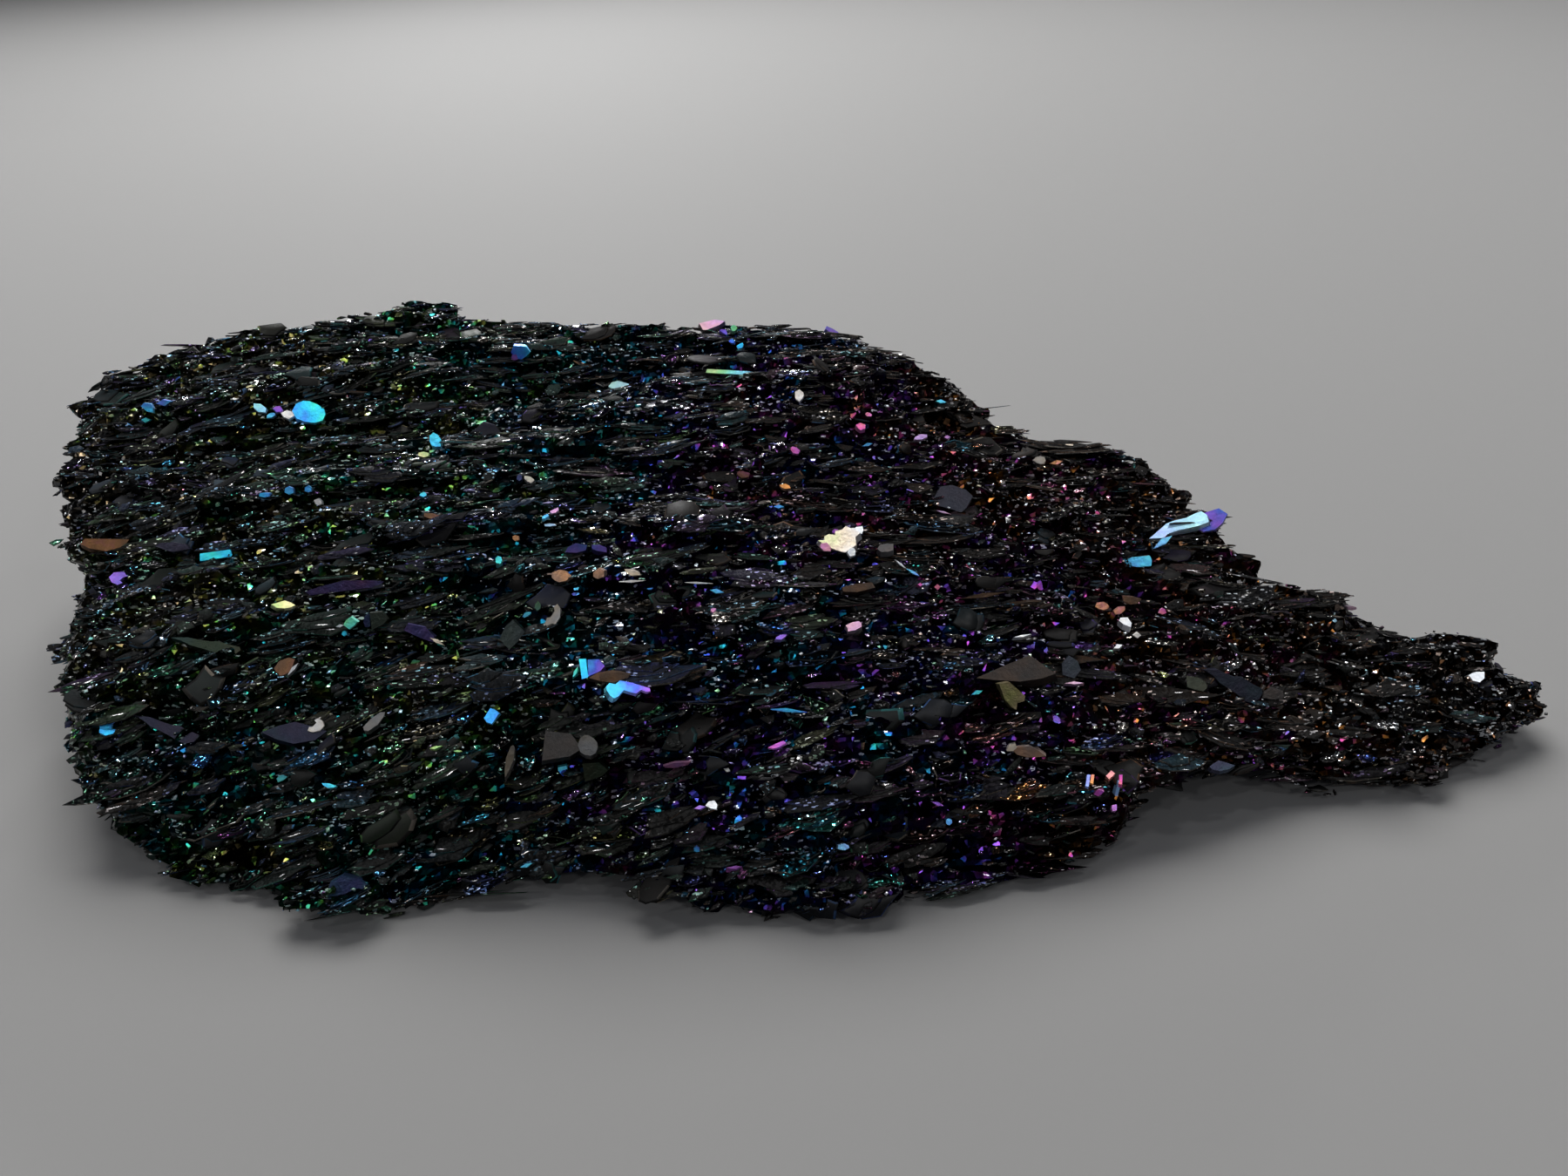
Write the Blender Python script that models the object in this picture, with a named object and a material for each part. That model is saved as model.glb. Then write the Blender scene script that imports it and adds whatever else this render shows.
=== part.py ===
"""A broken chunk of carborundum, grown as one mass of thin dark crystal plates.

The chunk lies on its underside. Its plates run along X, from a blunt broken end at -X to a thin
tapering end at +X. The top slopes down towards -Y, where a short steep face meets the ground.
The frame's origin is under the middle of the chunk, at the level that it rests on. Metres, +Z up.
"""

import math
import random
from collections import namedtuple

import bmesh
import bpy
from mathutils import Matrix, Vector, noise

MM = 0.001

# How finely the mass is faceted: rings in a bay between two sections, and ledges round a ring.
RINGS_IN_BAY = 2
FRONT_LEDGES = 4
TOP_LEDGES = 9
BACK_LEDGES = 3
UNDER_LEDGES = 4

# One section across the plates, as a line from the front foot to the back heel, in millimetres.
# foot: where the front face meets the ground. shoulder: the edge over the front face.
# crest: the top edge at the back. heel: where the back face meets the ground.
# sag: how far the underside bulges up, or down if it is negative.
Section = namedtuple("Section", "foot shoulder crest heel sag")

SECTIONS = (
    Section((-35.6, -19.0, 1.4), (-38.2, -12.2, 8.4), (-48.8, 15.0, 15.0), (-46.6, 16.8, 2.4), 1.0),
    Section((-31.6, -21.8, 0.3), (-35.0, -12.8, 9.8), (-44.4, 18.8, 17.1), (-43.8, 20.6, 0.8), 0.2),
    Section((-26.0, -23.2, -0.4), (-28.4, -13.0, 10.8), (-34.0, 19.4, 18.2), (-34.2, 22.0, 0.0), 0.5),
    Section((-19.2, -24.6, -0.4), (-18.8, -13.8, 11.2), (-27.0, 22.0, 19.2), (-26.8, 24.2, -0.2), 0.6),
    Section((-11.0, -23.8, 0.2), (-9.8, -15.2, 11.5), (-18.4, 21.6, 18.3), (-18.0, 24.0, 0.0), 1.3),
    Section((-4.4, -24.2, 0.5), (-2.4, -16.4, 11.5), (-8.4, 18.4, 18.5), (-8.0, 21.2, 0.0), 1.5),
    Section((2.2, -25.4, -0.4), (3.4, -17.6, 11.1), (0.4, 16.2, 18.9), (1.2, 19.0, 0.0), 0.7),
    Section((8.6, -25.2, -0.4), (8.8, -18.4, 10.0), (7.0, 15.0, 19.2), (8.0, 17.6, 0.2), 0.4),
    Section((15.6, -23.6, -0.3), (14.6, -18.6, 8.5), (14.2, 12.6, 16.2), (15.4, 15.6, 0.4), 0.5),
    Section((21.6, -21.6, 0.2), (20.4, -18.2, 7.0), (19.2, 8.0, 14.0), (20.6, 10.8, 0.6), 0.9),
    Section((25.2, -19.6, 1.4), (24.8, -17.4, 5.8), (25.6, 5.0, 12.7), (26.6, 7.2, 0.6), 0.9),
    Section((29.2, -18.2, 1.8), (28.4, -16.6, 5.0), (29.6, 2.4, 11.1), (30.6, 4.2, 0.4), 0.3),
    Section((33.2, -17.8, 0.2), (32.4, -16.2, 4.5), (31.6, -3.0, 8.9), (32.8, -1.0, 0.4), -0.3),
    Section((37.6, -17.6, -0.2), (37.0, -15.8, 4.1), (36.8, -6.8, 7.2), (37.8, -5.0, 0.4), -0.3),
    Section((42.2, -16.4, 0.0), (42.0, -15.0, 3.5), (41.6, -9.2, 5.9), (42.4, -7.8, 0.4), 0.0),
    Section((46.2, -15.0, 0.4), (46.2, -14.0, 2.9), (46.2, -10.2, 4.8), (46.8, -9.4, 0.8), 0.2),
    Section((48.6, -13.4, 1.2), (48.6, -12.9, 2.5), (48.8, -11.2, 3.4), (49.0, -10.8, 1.4), 0.1),
)

# How far the front face, the top and the back face bow outwards between a section's corners.
FRONT_BOW = 1.0
TOP_BOW = 0.7
BACK_BOW = 1.8

# Each end of the mass is closed by a smaller ring that stands this far out.
END_RING_SHARE = 0.6
BLUNT_END_BULGE = 0.9
THIN_END_BULGE = 1.2

# The ledges: each is a lip that stands out over the notch before it. They fade in and out.
LEDGE_SHARE = 0.34
LEDGE_HEIGHT = 1.15
LEDGE_PATCH = Vector((9.0, 4.0, 3.0))
LUMP_HEIGHT = 1.5
LUMP_SIZE = Vector((12.0, 5.5, 5.0))
WOBBLE = 0.9
WOBBLE_SIZE = Vector((6.0, 3.0, 3.0))

# The crystal plates that stand out of the mass, spread over all of it and over its blunt end.
PLATE_SEED = 18
PLATE_COUNT = 126
END_PLATE_COUNT = 20
PLATE_LENGTH = (3.4, 7.2)
PLATE_WIDTH_SHARE = (0.36, 0.62)
PLATE_THICKNESS = (0.45, 0.85)
PLATE_ROLL = 24.0
PLATE_PITCH = 8.0
PLATE_FAN = 12.0
FRONT_PLATE_ROLL = -24.0
ROOTED_SHARE = 0.30

# Towards the thin end everything gets smaller: whole at THINNING_FROM, nothing at THINNING_TO.
THINNING_FROM = 34.0
THINNING_TO = 62.0

# Longer shards on the stepped edge at the back, on the thin end and at the front foot.
# Middle x, y, z and length, width, thickness in millimetres; fan, pitch and roll in degrees.
Shard = namedtuple("Shard", "x y z length width thickness fan pitch roll")

SHARDS = (
    Shard(28.6, 2.8, 10.6, 5.0, 3.2, 1.0, -8, 4, -10),
    Shard(30.8, -1.6, 9.0, 6.0, 2.2, 1.3, 20, -6, 26),
    Shard(32.6, -4.6, 8.2, 5.0, 2.6, 0.8, 4, 6, -8),
    Shard(37.4, -7.0, 6.9, 5.6, 2.6, 0.8, -8, 4, -10),
    Shard(45.4, -10.2, 5.0, 5.0, 2.2, 0.7, -6, 2, 10),
    Shard(48.6, -11.8, 3.2, 4.4, 2.0, 0.8, -8, 8, -6),
    Shard(47.6, -13.2, 2.0, 3.8, 1.8, 0.7, 8, 2, 14),
    Shard(-1.4, -24.0, 1.6, 6.6, 2.6, 1.1, 4, 2, -34),
    Shard(6.6, -25.0, 1.4, 6.8, 2.4, 0.9, -4, 0, -20),
    Shard(-20.6, -23.8, 1.4, 6.4, 2.6, 0.9, 6, 0, -28),
    Shard(24.0, -18.6, 2.6, 5.6, 2.2, 0.8, 14, 6, -20),
    Shard(-23.6, 21.8, 18.6, 5.6, 2.6, 0.9, -4, 0, 12),
)

# The chunk stands on the low spots of its underside, which are worn flat at the ground.
CUTTER_SIZE = Vector((160.0, 90.0, 20.0))

SURFACE_COLOUR = (0.012, 0.014, 0.019, 1.0)
SURFACE_ROUGHNESS = 0.28
SURFACE_METALLIC = 0.85


def clear_scene():
    for old in list(bpy.data.objects):
        bpy.data.objects.remove(old)


def surface_material():
    """Black crystal with a bright skin."""
    material = bpy.data.materials.new("carborundum_crystal")
    material.use_nodes = True
    shader = material.node_tree.nodes["Principled BSDF"]
    shader.inputs["Base Color"].default_value = SURFACE_COLOUR
    shader.inputs["Roughness"].default_value = SURFACE_ROUGHNESS
    shader.inputs["Metallic"].default_value = SURFACE_METALLIC
    return material


def ledged(start, end, ledges, bow):
    """Notches and lips in turn from start up to, but not with, end, bowed by that vector."""
    points = []
    for ledge in range(ledges):
        for share in (ledge / ledges, (ledge + LEDGE_SHARE) / ledges):
            points.append(start.lerp(end, share) + bow * math.sin(math.pi * share))
    return points


def section_ring(section):
    """The closed outline of one section, from its foot over the top to its heel and back below."""
    foot = Vector(section.foot)
    shoulder = Vector(section.shoulder)
    crest = Vector(section.crest)
    heel = Vector(section.heel)
    ring = ledged(foot, shoulder, FRONT_LEDGES, Vector((0, -FRONT_BOW, FRONT_BOW * 0.4)))
    ring += ledged(shoulder, crest, TOP_LEDGES, Vector((0, 0, TOP_BOW)))
    ring += ledged(crest, heel, BACK_LEDGES, Vector((0, BACK_BOW, 0)))
    ring += ledged(heel, foot, UNDER_LEDGES, Vector((0, 0, section.sag)))
    return ring


def spline(before, start, end, after, share):
    """A smooth step from start to end that heads where its neighbours point (Catmull-Rom)."""
    square = share * share
    cube = square * share
    return 0.5 * (
        2 * start
        + (end - before) * share
        + (2 * before - 5 * start + 4 * end - after) * square
        + (3 * start - before - 3 * end + after) * cube
    )


def loft_rings():
    """All rings of the mass: the sections, and the rings drawn smoothly between them."""
    rings = [section_ring(section) for section in SECTIONS]
    last = len(rings) - 1
    lofted = []
    for index in range(last):
        bay = (rings[max(index - 1, 0)], rings[index], rings[index + 1], rings[min(index + 2, last)])
        for step in range(RINGS_IN_BAY):
            share = step / RINGS_IN_BAY
            lofted.append([spline(*corners, share) for corners in zip(*bay)])
    lofted.append(rings[last])
    return lofted


def end_ring(ring, bulge):
    """A smaller copy of an end's ring, moved out along X by the bulge."""
    middle = sum(ring, Vector((0, 0, 0))) / len(ring)
    out = Vector((bulge, 0, 0))
    return [middle.lerp(point, END_RING_SHARE) + out for point in ring]


def mass_mesh():
    """The mass as one closed mesh: each ring joined to the next, and both ends closed."""
    shape = bmesh.new()
    points = loft_rings()
    points.insert(0, end_ring(points[0], -BLUNT_END_BULGE))
    points.append(end_ring(points[-1], THIN_END_BULGE))
    rings = [[shape.verts.new(point * MM) for point in ring] for ring in points]
    for near, far in zip(rings, rings[1:]):
        for index, vertex in enumerate(near):
            following = (index + 1) % len(near)
            shape.faces.new((vertex, near[following], far[following], far[index]))
    for ring in (rings[0], rings[-1]):
        bmesh.ops.poke(shape, faces=[shape.faces.new(ring)], center_mode="MEAN")
    bmesh.ops.recalc_face_normals(shape, faces=shape.faces[:])
    return shape


def noise_at(point, size, place=0.0):
    """Smooth noise, about -1 to 1, whose lumps have that size in millimetres."""
    spot = Vector([point[axis] / MM / size[axis] + place for axis in range(3)])
    return noise.noise(spot)


def size_at(point):
    """1 over most of the chunk, and less towards its thin end."""
    share = (THINNING_TO - point.x / MM) / (THINNING_TO - THINNING_FROM)
    return min(1.0, share)


def roughen(shape):
    """Moves each point of the mass along its normal: out at a lip, in at a notch, and by lumps."""
    shape.normal_update()
    shape.verts.index_update()
    moves = []
    for vertex in shape.verts:
        side = 1 if vertex.index % 2 else -1
        ledge = LEDGE_HEIGHT / 2 * (0.75 + noise_at(vertex.co, LEDGE_PATCH))
        lump = LUMP_HEIGHT * noise_at(vertex.co, LUMP_SIZE, 7.3)
        wobble = WOBBLE * noise_at(vertex.co, WOBBLE_SIZE, 3.1)
        move = vertex.normal * (side * ledge + lump) + Vector((0, wobble, wobble / 2))
        moves.append(move * size_at(vertex.co) * MM)
    for vertex, move in zip(shape.verts, moves):
        vertex.co += move


def turned(fan, pitch, roll):
    """Length, width and normal of a plate that lies along X, after these turns in degrees."""
    turn = (
        Matrix.Rotation(math.radians(fan), 3, "Z")
        @ Matrix.Rotation(math.radians(pitch), 3, "Y")
        @ Matrix.Rotation(math.radians(roll), 3, "X")
    )
    return turn.col[0], turn.col[1], turn.col[2]


def plate_outline(length, width, dice):
    """The corners of a six-sided plate that is longer than it is wide, round its middle."""
    corners = []
    for x, y in ((-0.5, -0.1), (-0.28, -0.5), (0.3, -0.5), (0.5, 0.12), (0.26, 0.5), (-0.32, 0.5)):
        along = length * (x + dice.uniform(-0.06, 0.06))
        across = width * (y + dice.uniform(-0.07, 0.07))
        corners.append((along, across))
    return corners


def plate_mesh(centre, directions, outline, thickness):
    """One plate: its outline extruded along its normal."""
    along, across, up = directions
    shape = bmesh.new()
    below = centre - up * thickness / 2
    corners = [shape.verts.new(below + along * x + across * y) for x, y in outline]
    grown = bmesh.ops.extrude_face_region(shape, geom=[shape.faces.new(corners)])
    raised = [item for item in grown["geom"] if isinstance(item, bmesh.types.BMVert)]
    bmesh.ops.translate(shape, verts=raised, vec=up * thickness)
    bmesh.ops.recalc_face_normals(shape, faces=shape.faces[:])
    mesh = bpy.data.meshes.new("plate")
    shape.to_mesh(mesh)
    shape.free()
    return mesh


def spots_on(faces, count, dice):
    """Points spread over these faces by area, each with the direction that its face looks in."""
    areas = [face.calc_area() for face in faces]
    chosen = dice.choices(faces, areas, k=count)
    return [(face.calc_center_median(), face.normal.copy()) for face in chosen]


def plate_at(point, facing, dice):
    """The mesh of one plate that is rooted in the mass at that point."""
    length = dice.uniform(*PLATE_LENGTH) * MM * size_at(point)
    width = length * dice.uniform(*PLATE_WIDTH_SHARE)
    thickness = dice.uniform(*PLATE_THICKNESS) * MM
    fan = dice.gauss(0, PLATE_FAN) + point.y / MM * 0.25
    roll = dice.gauss(FRONT_PLATE_ROLL if facing.y < -0.5 else 0, PLATE_ROLL)
    directions = turned(fan, dice.gauss(0, PLATE_PITCH), roll)
    along, across, _ = directions
    proud = along * facing.dot(along) * length + across * facing.dot(across) * width
    centre = point - proud * ROOTED_SHARE
    return plate_mesh(centre, directions, plate_outline(length, width, dice), thickness)


def shard_mesh(shard, dice):
    outline = plate_outline(shard.length * MM, shard.width * MM, dice)
    directions = turned(shard.fan, shard.pitch, shard.roll)
    centre = Vector((shard.x, shard.y, shard.z)) * MM
    return plate_mesh(centre, directions, outline, shard.thickness * MM)


def plate_meshes(shape):
    """The meshes of all plates and shards that the mass is joined with."""
    dice = random.Random(PLATE_SEED)
    seen = [face for face in shape.faces if face.normal.z > -0.5]
    blunt_end = [face for face in seen if face.normal.x < -0.6]
    spots = spots_on(seen, PLATE_COUNT, dice) + spots_on(blunt_end, END_PLATE_COUNT, dice)
    meshes = [plate_at(point, facing, dice) for point, facing in spots]
    return meshes + [shard_mesh(shard, dice) for shard in SHARDS]


def add_helper(name, mesh, collection):
    """An object that only a Boolean uses."""
    helper = bpy.data.objects.new(name, mesh)
    helper.hide_render = True
    helper.display_type = "WIRE"
    collection.objects.link(helper)
    return helper


def ground_cutter(collection):
    """A block below the ground, which trims the underside to flat resting spots."""
    shape = bmesh.new()
    bmesh.ops.create_cube(shape, size=1.0)
    bmesh.ops.scale(shape, verts=shape.verts, vec=CUTTER_SIZE * MM)
    bmesh.ops.translate(shape, verts=shape.verts, vec=Vector((0, 0, -CUTTER_SIZE.z / 2)) * MM)
    mesh = bpy.data.meshes.new("ground_cutter")
    shape.to_mesh(mesh)
    shape.free()
    return add_helper("ground_cutter", mesh, collection)


def join_plates(chunk, plates):
    union = chunk.modifiers.new("join_plates", "BOOLEAN")
    union.operation = "UNION"
    union.operand_type = "COLLECTION"
    union.collection = plates
    union.solver = "EXACT"


def rest_on_ground(chunk, cutter):
    cut = chunk.modifiers.new("rest_on_ground", "BOOLEAN")
    cut.operation = "DIFFERENCE"
    cut.object = cutter
    cut.solver = "EXACT"


def body_round(face):
    """All faces that are joined to that face, itself among them."""
    body = {face}
    outermost = [face]
    while outermost:
        for edge in outermost.pop().edges:
            for near in edge.link_faces:
                if near not in body:
                    body.add(near)
                    outermost.append(near)
    return body


def drop_crumbs(shape):
    """Keeps the one big body, without the voids shut in between plates and without loose crumbs."""
    left = set(shape.faces)
    bodies = []
    while left:
        body = body_round(next(iter(left)))
        left -= body
        bodies.append(body)
    bodies.sort(key=len)
    crumbs = [face for body in bodies[:-1] for face in body]
    bmesh.ops.delete(shape, geom=crumbs, context="FACES")


def move_to_middle(shape):
    """Puts the middle of the chunk's box, in X and Y, at the origin."""
    for axis in range(2):
        places = [vertex.co[axis] for vertex in shape.verts]
        step = Vector((0, 0, 0))
        step[axis] = -(min(places) + max(places)) / 2
        bmesh.ops.translate(shape, verts=shape.verts, vec=step)


def joined_mesh(mass, plates, cutter):
    """The mass joined with its plates and trimmed at the ground, as one mesh."""
    chunk = bpy.data.objects.new("rough_chunk", mass)
    bpy.context.scene.collection.objects.link(chunk)
    join_plates(chunk, plates)
    rest_on_ground(chunk, cutter)
    shape = bmesh.new()
    shape.from_object(chunk, bpy.context.evaluated_depsgraph_get())
    bpy.data.objects.remove(chunk)
    drop_crumbs(shape)
    move_to_middle(shape)
    mesh = bpy.data.meshes.new("carborundum_chunk")
    shape.to_mesh(mesh)
    shape.free()
    return mesh


def build_chunk():
    scene_objects = bpy.context.scene.collection
    plates = bpy.data.collections.new("plates")
    scene_objects.children.link(plates)

    shape = mass_mesh()
    roughen(shape)
    bmesh.ops.triangulate(shape, faces=shape.faces[:])
    shape.normal_update()
    mass = bpy.data.meshes.new("mass")
    shape.to_mesh(mass)
    for plate in plate_meshes(shape):
        add_helper("plate_helper", plate, plates)
    shape.free()

    mesh = joined_mesh(mass, plates, ground_cutter(scene_objects))
    mesh.materials.append(surface_material())
    chunk = bpy.data.objects.new("carborundum_chunk", mesh)
    scene_objects.objects.link(chunk)


clear_scene()
build_chunk()
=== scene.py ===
"""The looks of a carborundum chunk: thin black crystal plates with rainbow film colours.

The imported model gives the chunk's shape. Here it gets its fine growth: a terraced mass, stacks of
thin plates along the grain, small loose plates, broad dull plates and single bright crystals.
"""

import math
from collections import namedtuple

import bmesh
import bpy
import numpy as np
from mathutils import Matrix, Vector
from mathutils.bvhtree import BVHTree
from mathutils.kdtree import KDTree


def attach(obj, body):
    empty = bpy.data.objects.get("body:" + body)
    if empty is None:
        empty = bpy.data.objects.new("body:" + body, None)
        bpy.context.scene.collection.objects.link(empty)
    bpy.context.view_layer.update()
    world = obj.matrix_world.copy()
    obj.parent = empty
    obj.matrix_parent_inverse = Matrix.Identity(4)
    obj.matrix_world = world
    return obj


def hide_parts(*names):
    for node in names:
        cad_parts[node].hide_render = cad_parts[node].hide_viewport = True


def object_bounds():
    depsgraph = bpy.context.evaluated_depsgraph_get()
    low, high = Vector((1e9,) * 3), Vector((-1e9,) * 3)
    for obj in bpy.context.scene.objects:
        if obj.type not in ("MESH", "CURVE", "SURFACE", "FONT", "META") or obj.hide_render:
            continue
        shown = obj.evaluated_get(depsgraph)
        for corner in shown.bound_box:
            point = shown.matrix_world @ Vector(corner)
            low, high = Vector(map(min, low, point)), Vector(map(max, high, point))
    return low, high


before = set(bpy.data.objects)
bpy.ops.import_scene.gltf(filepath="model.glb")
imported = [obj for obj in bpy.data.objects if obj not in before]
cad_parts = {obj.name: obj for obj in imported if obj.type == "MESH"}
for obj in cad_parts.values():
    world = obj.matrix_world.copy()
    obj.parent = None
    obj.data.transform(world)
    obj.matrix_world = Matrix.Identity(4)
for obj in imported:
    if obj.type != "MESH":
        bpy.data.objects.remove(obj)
cad_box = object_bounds()

MM = 0.001
NODE = "carborundum_chunk"
BODY = "root"

# One seed for each set of random draws.
TERRACE_SEED = 3
TEMPLATE_SEED = 5
PLATE_SEED = 17
CRYSTAL_SEED = 29

# The camera: where it stands in millimetres, how far it looks down and leans, and its lens.
PICTURE_WIDTH = 1800
PICTURE_HEIGHT = 1350
CAMERA_PLACE = Vector((3.55, -69.63, 47.5))
CAMERA_DOWN = math.radians(31.3)
CAMERA_LEAN = math.radians(-2.29)
CAMERA_LENS = 27.04
SENSOR_WIDTH = 36.0
CAMERA_NEAREST = 0.001

# How far from the camera a spot beside the chunk may lie, in millimetres.
SPOT_REACH = (50, 170)

# The floor, and the light: a dim room, one large light behind and above the chunk that lights the
# floor too, and small ones that only make glints. Places and sizes are in metres, powers in watts.
FLOOR_COLOUR = (0.352, 0.346, 0.338, 1.0)
FLOOR_ROUGHNESS = 0.9
FLOOR_REACH = 1.5
ROOM_COLOUR = (0.8, 0.85, 1.0, 1.0)
ROOM_STRENGTH = 0.08
SKY_LIGHT = (-0.05, 0.38, 0.56)
SKY_SIZE = 0.5
SKY_POWER = 4.4
GLINT_SIZE = 0.045
GLINT_POWER = 3.8
GLINT_LIGHTS = (
    (-0.55, 0.05, 0.50),
    (0.50, 0.15, 0.60),
    (0.05, -0.35, 0.75),
    (-0.35, -0.45, 0.45),
    (0.40, -0.40, 0.40),
    (-0.15, 0.70, 0.30),
)

# The grain: plates turn from FAN_MIDDLE by FAN_SLOPE for each millimetre along X, in degrees. On
# the front they rise by FRONT_RISE, where the surface looks forward by STEEP, as far as FRONT_END.
FAN_MIDDLE = 2.0
FAN_SLOPE = -0.21
FRONT_RISE = 15.0
STEEP = (0.45, 0.8)
FRONT_END = 20

# From TIP_START on, plates get smaller along X, as if to nothing at TIP_END, but no smaller than a
# share of their size.
TIP_START = 38
TIP_END = 64
TIP_SMALLEST = 0.45

# The mass under the plates: remeshed in metres, then stepped in millimetres.
MASS_VOXEL = 0.00044
MASS_SMOOTHING = 14
TERRACE_SIZE = np.array([2.6, 0.9, 0.8])
TERRACE_HEIGHT = 0.9
MASS_SINK = 0.35

# How many rounds the surface that plates grow from is smoothed, and how squarely it has to look
# down for the plates on it to lie face down.
SURFACE_SMOOTHING = 4
FACING_DOWN = -0.2

# Thin-film colours in the order in which a growing film shows them, each at its place on a ramp.
FILM_COLOURS = (
    (0.00, (0.20, 0.10, 0.05)),
    (0.10, (0.75, 0.30, 0.06)),
    (0.20, (0.75, 0.10, 0.40)),
    (0.30, (0.36, 0.10, 0.85)),
    (0.40, (0.06, 0.12, 0.85)),
    (0.50, (0.03, 0.58, 1.00)),
    (0.60, (0.05, 0.80, 0.62)),
    (0.70, (0.18, 0.72, 0.12)),
    (0.80, (0.72, 0.75, 0.16)),
    (0.90, (0.95, 0.70, 0.38)),
    (1.00, (0.80, 0.80, 0.84)),
)

# A pale blue white that films are mixed with: for their own paler tints, and for the painted glints
# of the flecks and the glint grains.
PALE = (0.85, 0.92, 1.0, 1.0)

# Sizes in the materials, in metres: flat facets in the plates and the mass, and pale flecks of
# painted glint, bright spots in the base colour, which lie in patches where a broad noise is over
# PATCH_START, more thickly by PATCH_SLOPE.
LARGE_FACET = 0.00045
SMALL_FACET = 0.00014
MASS_FACET = 0.0004
PLATE_PAINTED_GLINT = 0.0001
MASS_PAINTED_GLINT = 0.00013
PATCH_START = 0.42
PATCH_SLOPE = 0.4

# Where the film colours lie on the chunk: a spot's middle and reach in millimetres, how much it
# counts, and the films that its plates draw from, each as share, place on the ramp and spread.
Zone = namedtuple("Zone", "x y reach weight films")

ZONES = (
    Zone(-40, 12, 14, 1.0, ((0.5, 0.48, 0.07), (0.3, 0.62, 0.08), (0.2, 0.33, 0.05))),
    Zone(-28, 18, 12, 1.0, ((0.5, 0.64, 0.09), (0.3, 0.76, 0.06), (0.2, 0.44, 0.05))),
    Zone(
        -36, -4, 14, 1.0,
        ((0.4, 0.60, 0.10), (0.3, 0.48, 0.06), (0.2, 0.30, 0.05), (0.1, 0.8, 0.05)),
    ),
    Zone(
        -18, 2, 14, 1.0,
        ((0.4, 0.52, 0.08), (0.3, 0.66, 0.08), (0.2, 0.40, 0.05), (0.1, 0.97, 0.03)),
    ),
    Zone(-30, -18, 14, 1.2, ((0.4, 0.60, 0.08), (0.3, 0.70, 0.08), (0.3, 0.45, 0.05))),
    Zone(-12, -19, 10, 1.0, ((0.4, 0.56, 0.08), (0.4, 0.68, 0.07), (0.2, 0.82, 0.06))),
    Zone(
        -2, 14, 13, 1.0,
        ((0.5, 0.45, 0.06), (0.2, 0.32, 0.05), (0.2, 0.97, 0.03), (0.1, 0.6, 0.05)),
    ),
    Zone(
        8, 0, 13, 1.0,
        ((0.3, 0.97, 0.03), (0.3, 0.28, 0.08), (0.2, 0.05, 0.04), (0.2, 0.5, 0.06)),
    ),
    Zone(
        6, -20, 11, 1.2,
        ((0.3, 0.26, 0.06), (0.3, 0.46, 0.06), (0.2, 0.60, 0.06), (0.2, 0.97, 0.03)),
    ),
    Zone(14, 12, 12, 1.0, ((0.5, 0.05, 0.05), (0.3, 0.97, 0.03), (0.2, 0.24, 0.06))),
    Zone(
        24, 0, 14, 1.2,
        ((0.4, 0.05, 0.04), (0.3, 0.97, 0.03), (0.2, 0.90, 0.04), (0.1, 0.2, 0.05)),
    ),
    Zone(20, -18, 10, 1.0, ((0.4, 0.22, 0.06), (0.3, 0.10, 0.05), (0.3, 0.50, 0.08))),
    Zone(
        38, -12, 14, 1.4,
        ((0.5, 0.97, 0.03), (0.2, 0.05, 0.04), (0.15, 0.25, 0.05), (0.15, 0.5, 0.06)),
    ),
)

# One kind of plate. Pairs are least and most, and sizes are in millimetres.
#   spots, layers: how many spots it grows at, and how many plates lie in a stack there
#   corners: how many corners its plates have
#   length, width_share, thickness: their sizes, the width as a share of the length
#   fan, pitch, roll: how far they turn at random from the grain, in degrees; roll_back turns all
#   outward: 1 where they lie flat on the surface, 0 where they stay level
#   lift, step: how far they stand off at random, and how far each layer of a stack steps back
#   shine, dull, pale: how bright, rough and pale their faces are
#   matt_share, matt_shine: how many of them are matt, and how bright those are
#   edge: the greatest shine of the side faces, and the power that makes bright ones rare
Growth = namedtuple(
    "Growth",
    "spots layers corners length width_share thickness fan pitch roll_back roll outward lift step "
    "shine dull pale matt_share matt_shine edge",
)

STACKS = Growth(
    spots=3300,
    layers=(2, 5),
    corners=(8, 9),
    length=(1.0, 5.5),
    width_share=(0.10, 0.32),
    thickness=(0.035, 0.08),
    fan=9.0,
    pitch=5.0,
    roll_back=7.0,
    roll=13.0,
    outward=0.50,
    lift=0.10,
    step=0.20,
    shine=(0.004, 0.12),
    dull=(0.08, 0.26),
    pale=(0.03, 0.15),
    matt_share=0.6,
    matt_shine=(0.002, 0.045),
    edge=(0.22, 3),
)
SMALL_PLATES = Growth(
    spots=8000,
    layers=(1, 3),
    corners=(5, 6),
    length=(0.5, 1.8),
    width_share=(0.30, 0.75),
    thickness=(0.04, 0.10),
    fan=22.0,
    pitch=10.0,
    roll_back=3.0,
    roll=27.0,
    outward=0.55,
    lift=0.14,
    step=0.1,
    shine=(0.006, 0.4),
    dull=(0.06, 0.20),
    pale=(0.05, 0.25),
    matt_share=0.4,
    matt_shine=(0.002, 0.06),
    edge=(0.6, 12),
)
GRAINS = Growth(
    spots=10000,
    layers=(1, 2),
    corners=(4, 4),
    length=(0.16, 0.60),
    width_share=(0.45, 0.95),
    thickness=(0.06, 0.16),
    fan=50.0,
    pitch=22.0,
    roll_back=0.0,
    roll=32.0,
    outward=0.7,
    lift=0.16,
    step=0.0,
    shine=(0.01, 0.9),
    dull=(0.05, 0.14),
    pale=(0.1, 0.5),
    matt_share=0.3,
    matt_shine=(0.004, 0.4),
    edge=(0.6, 14),
)
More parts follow.
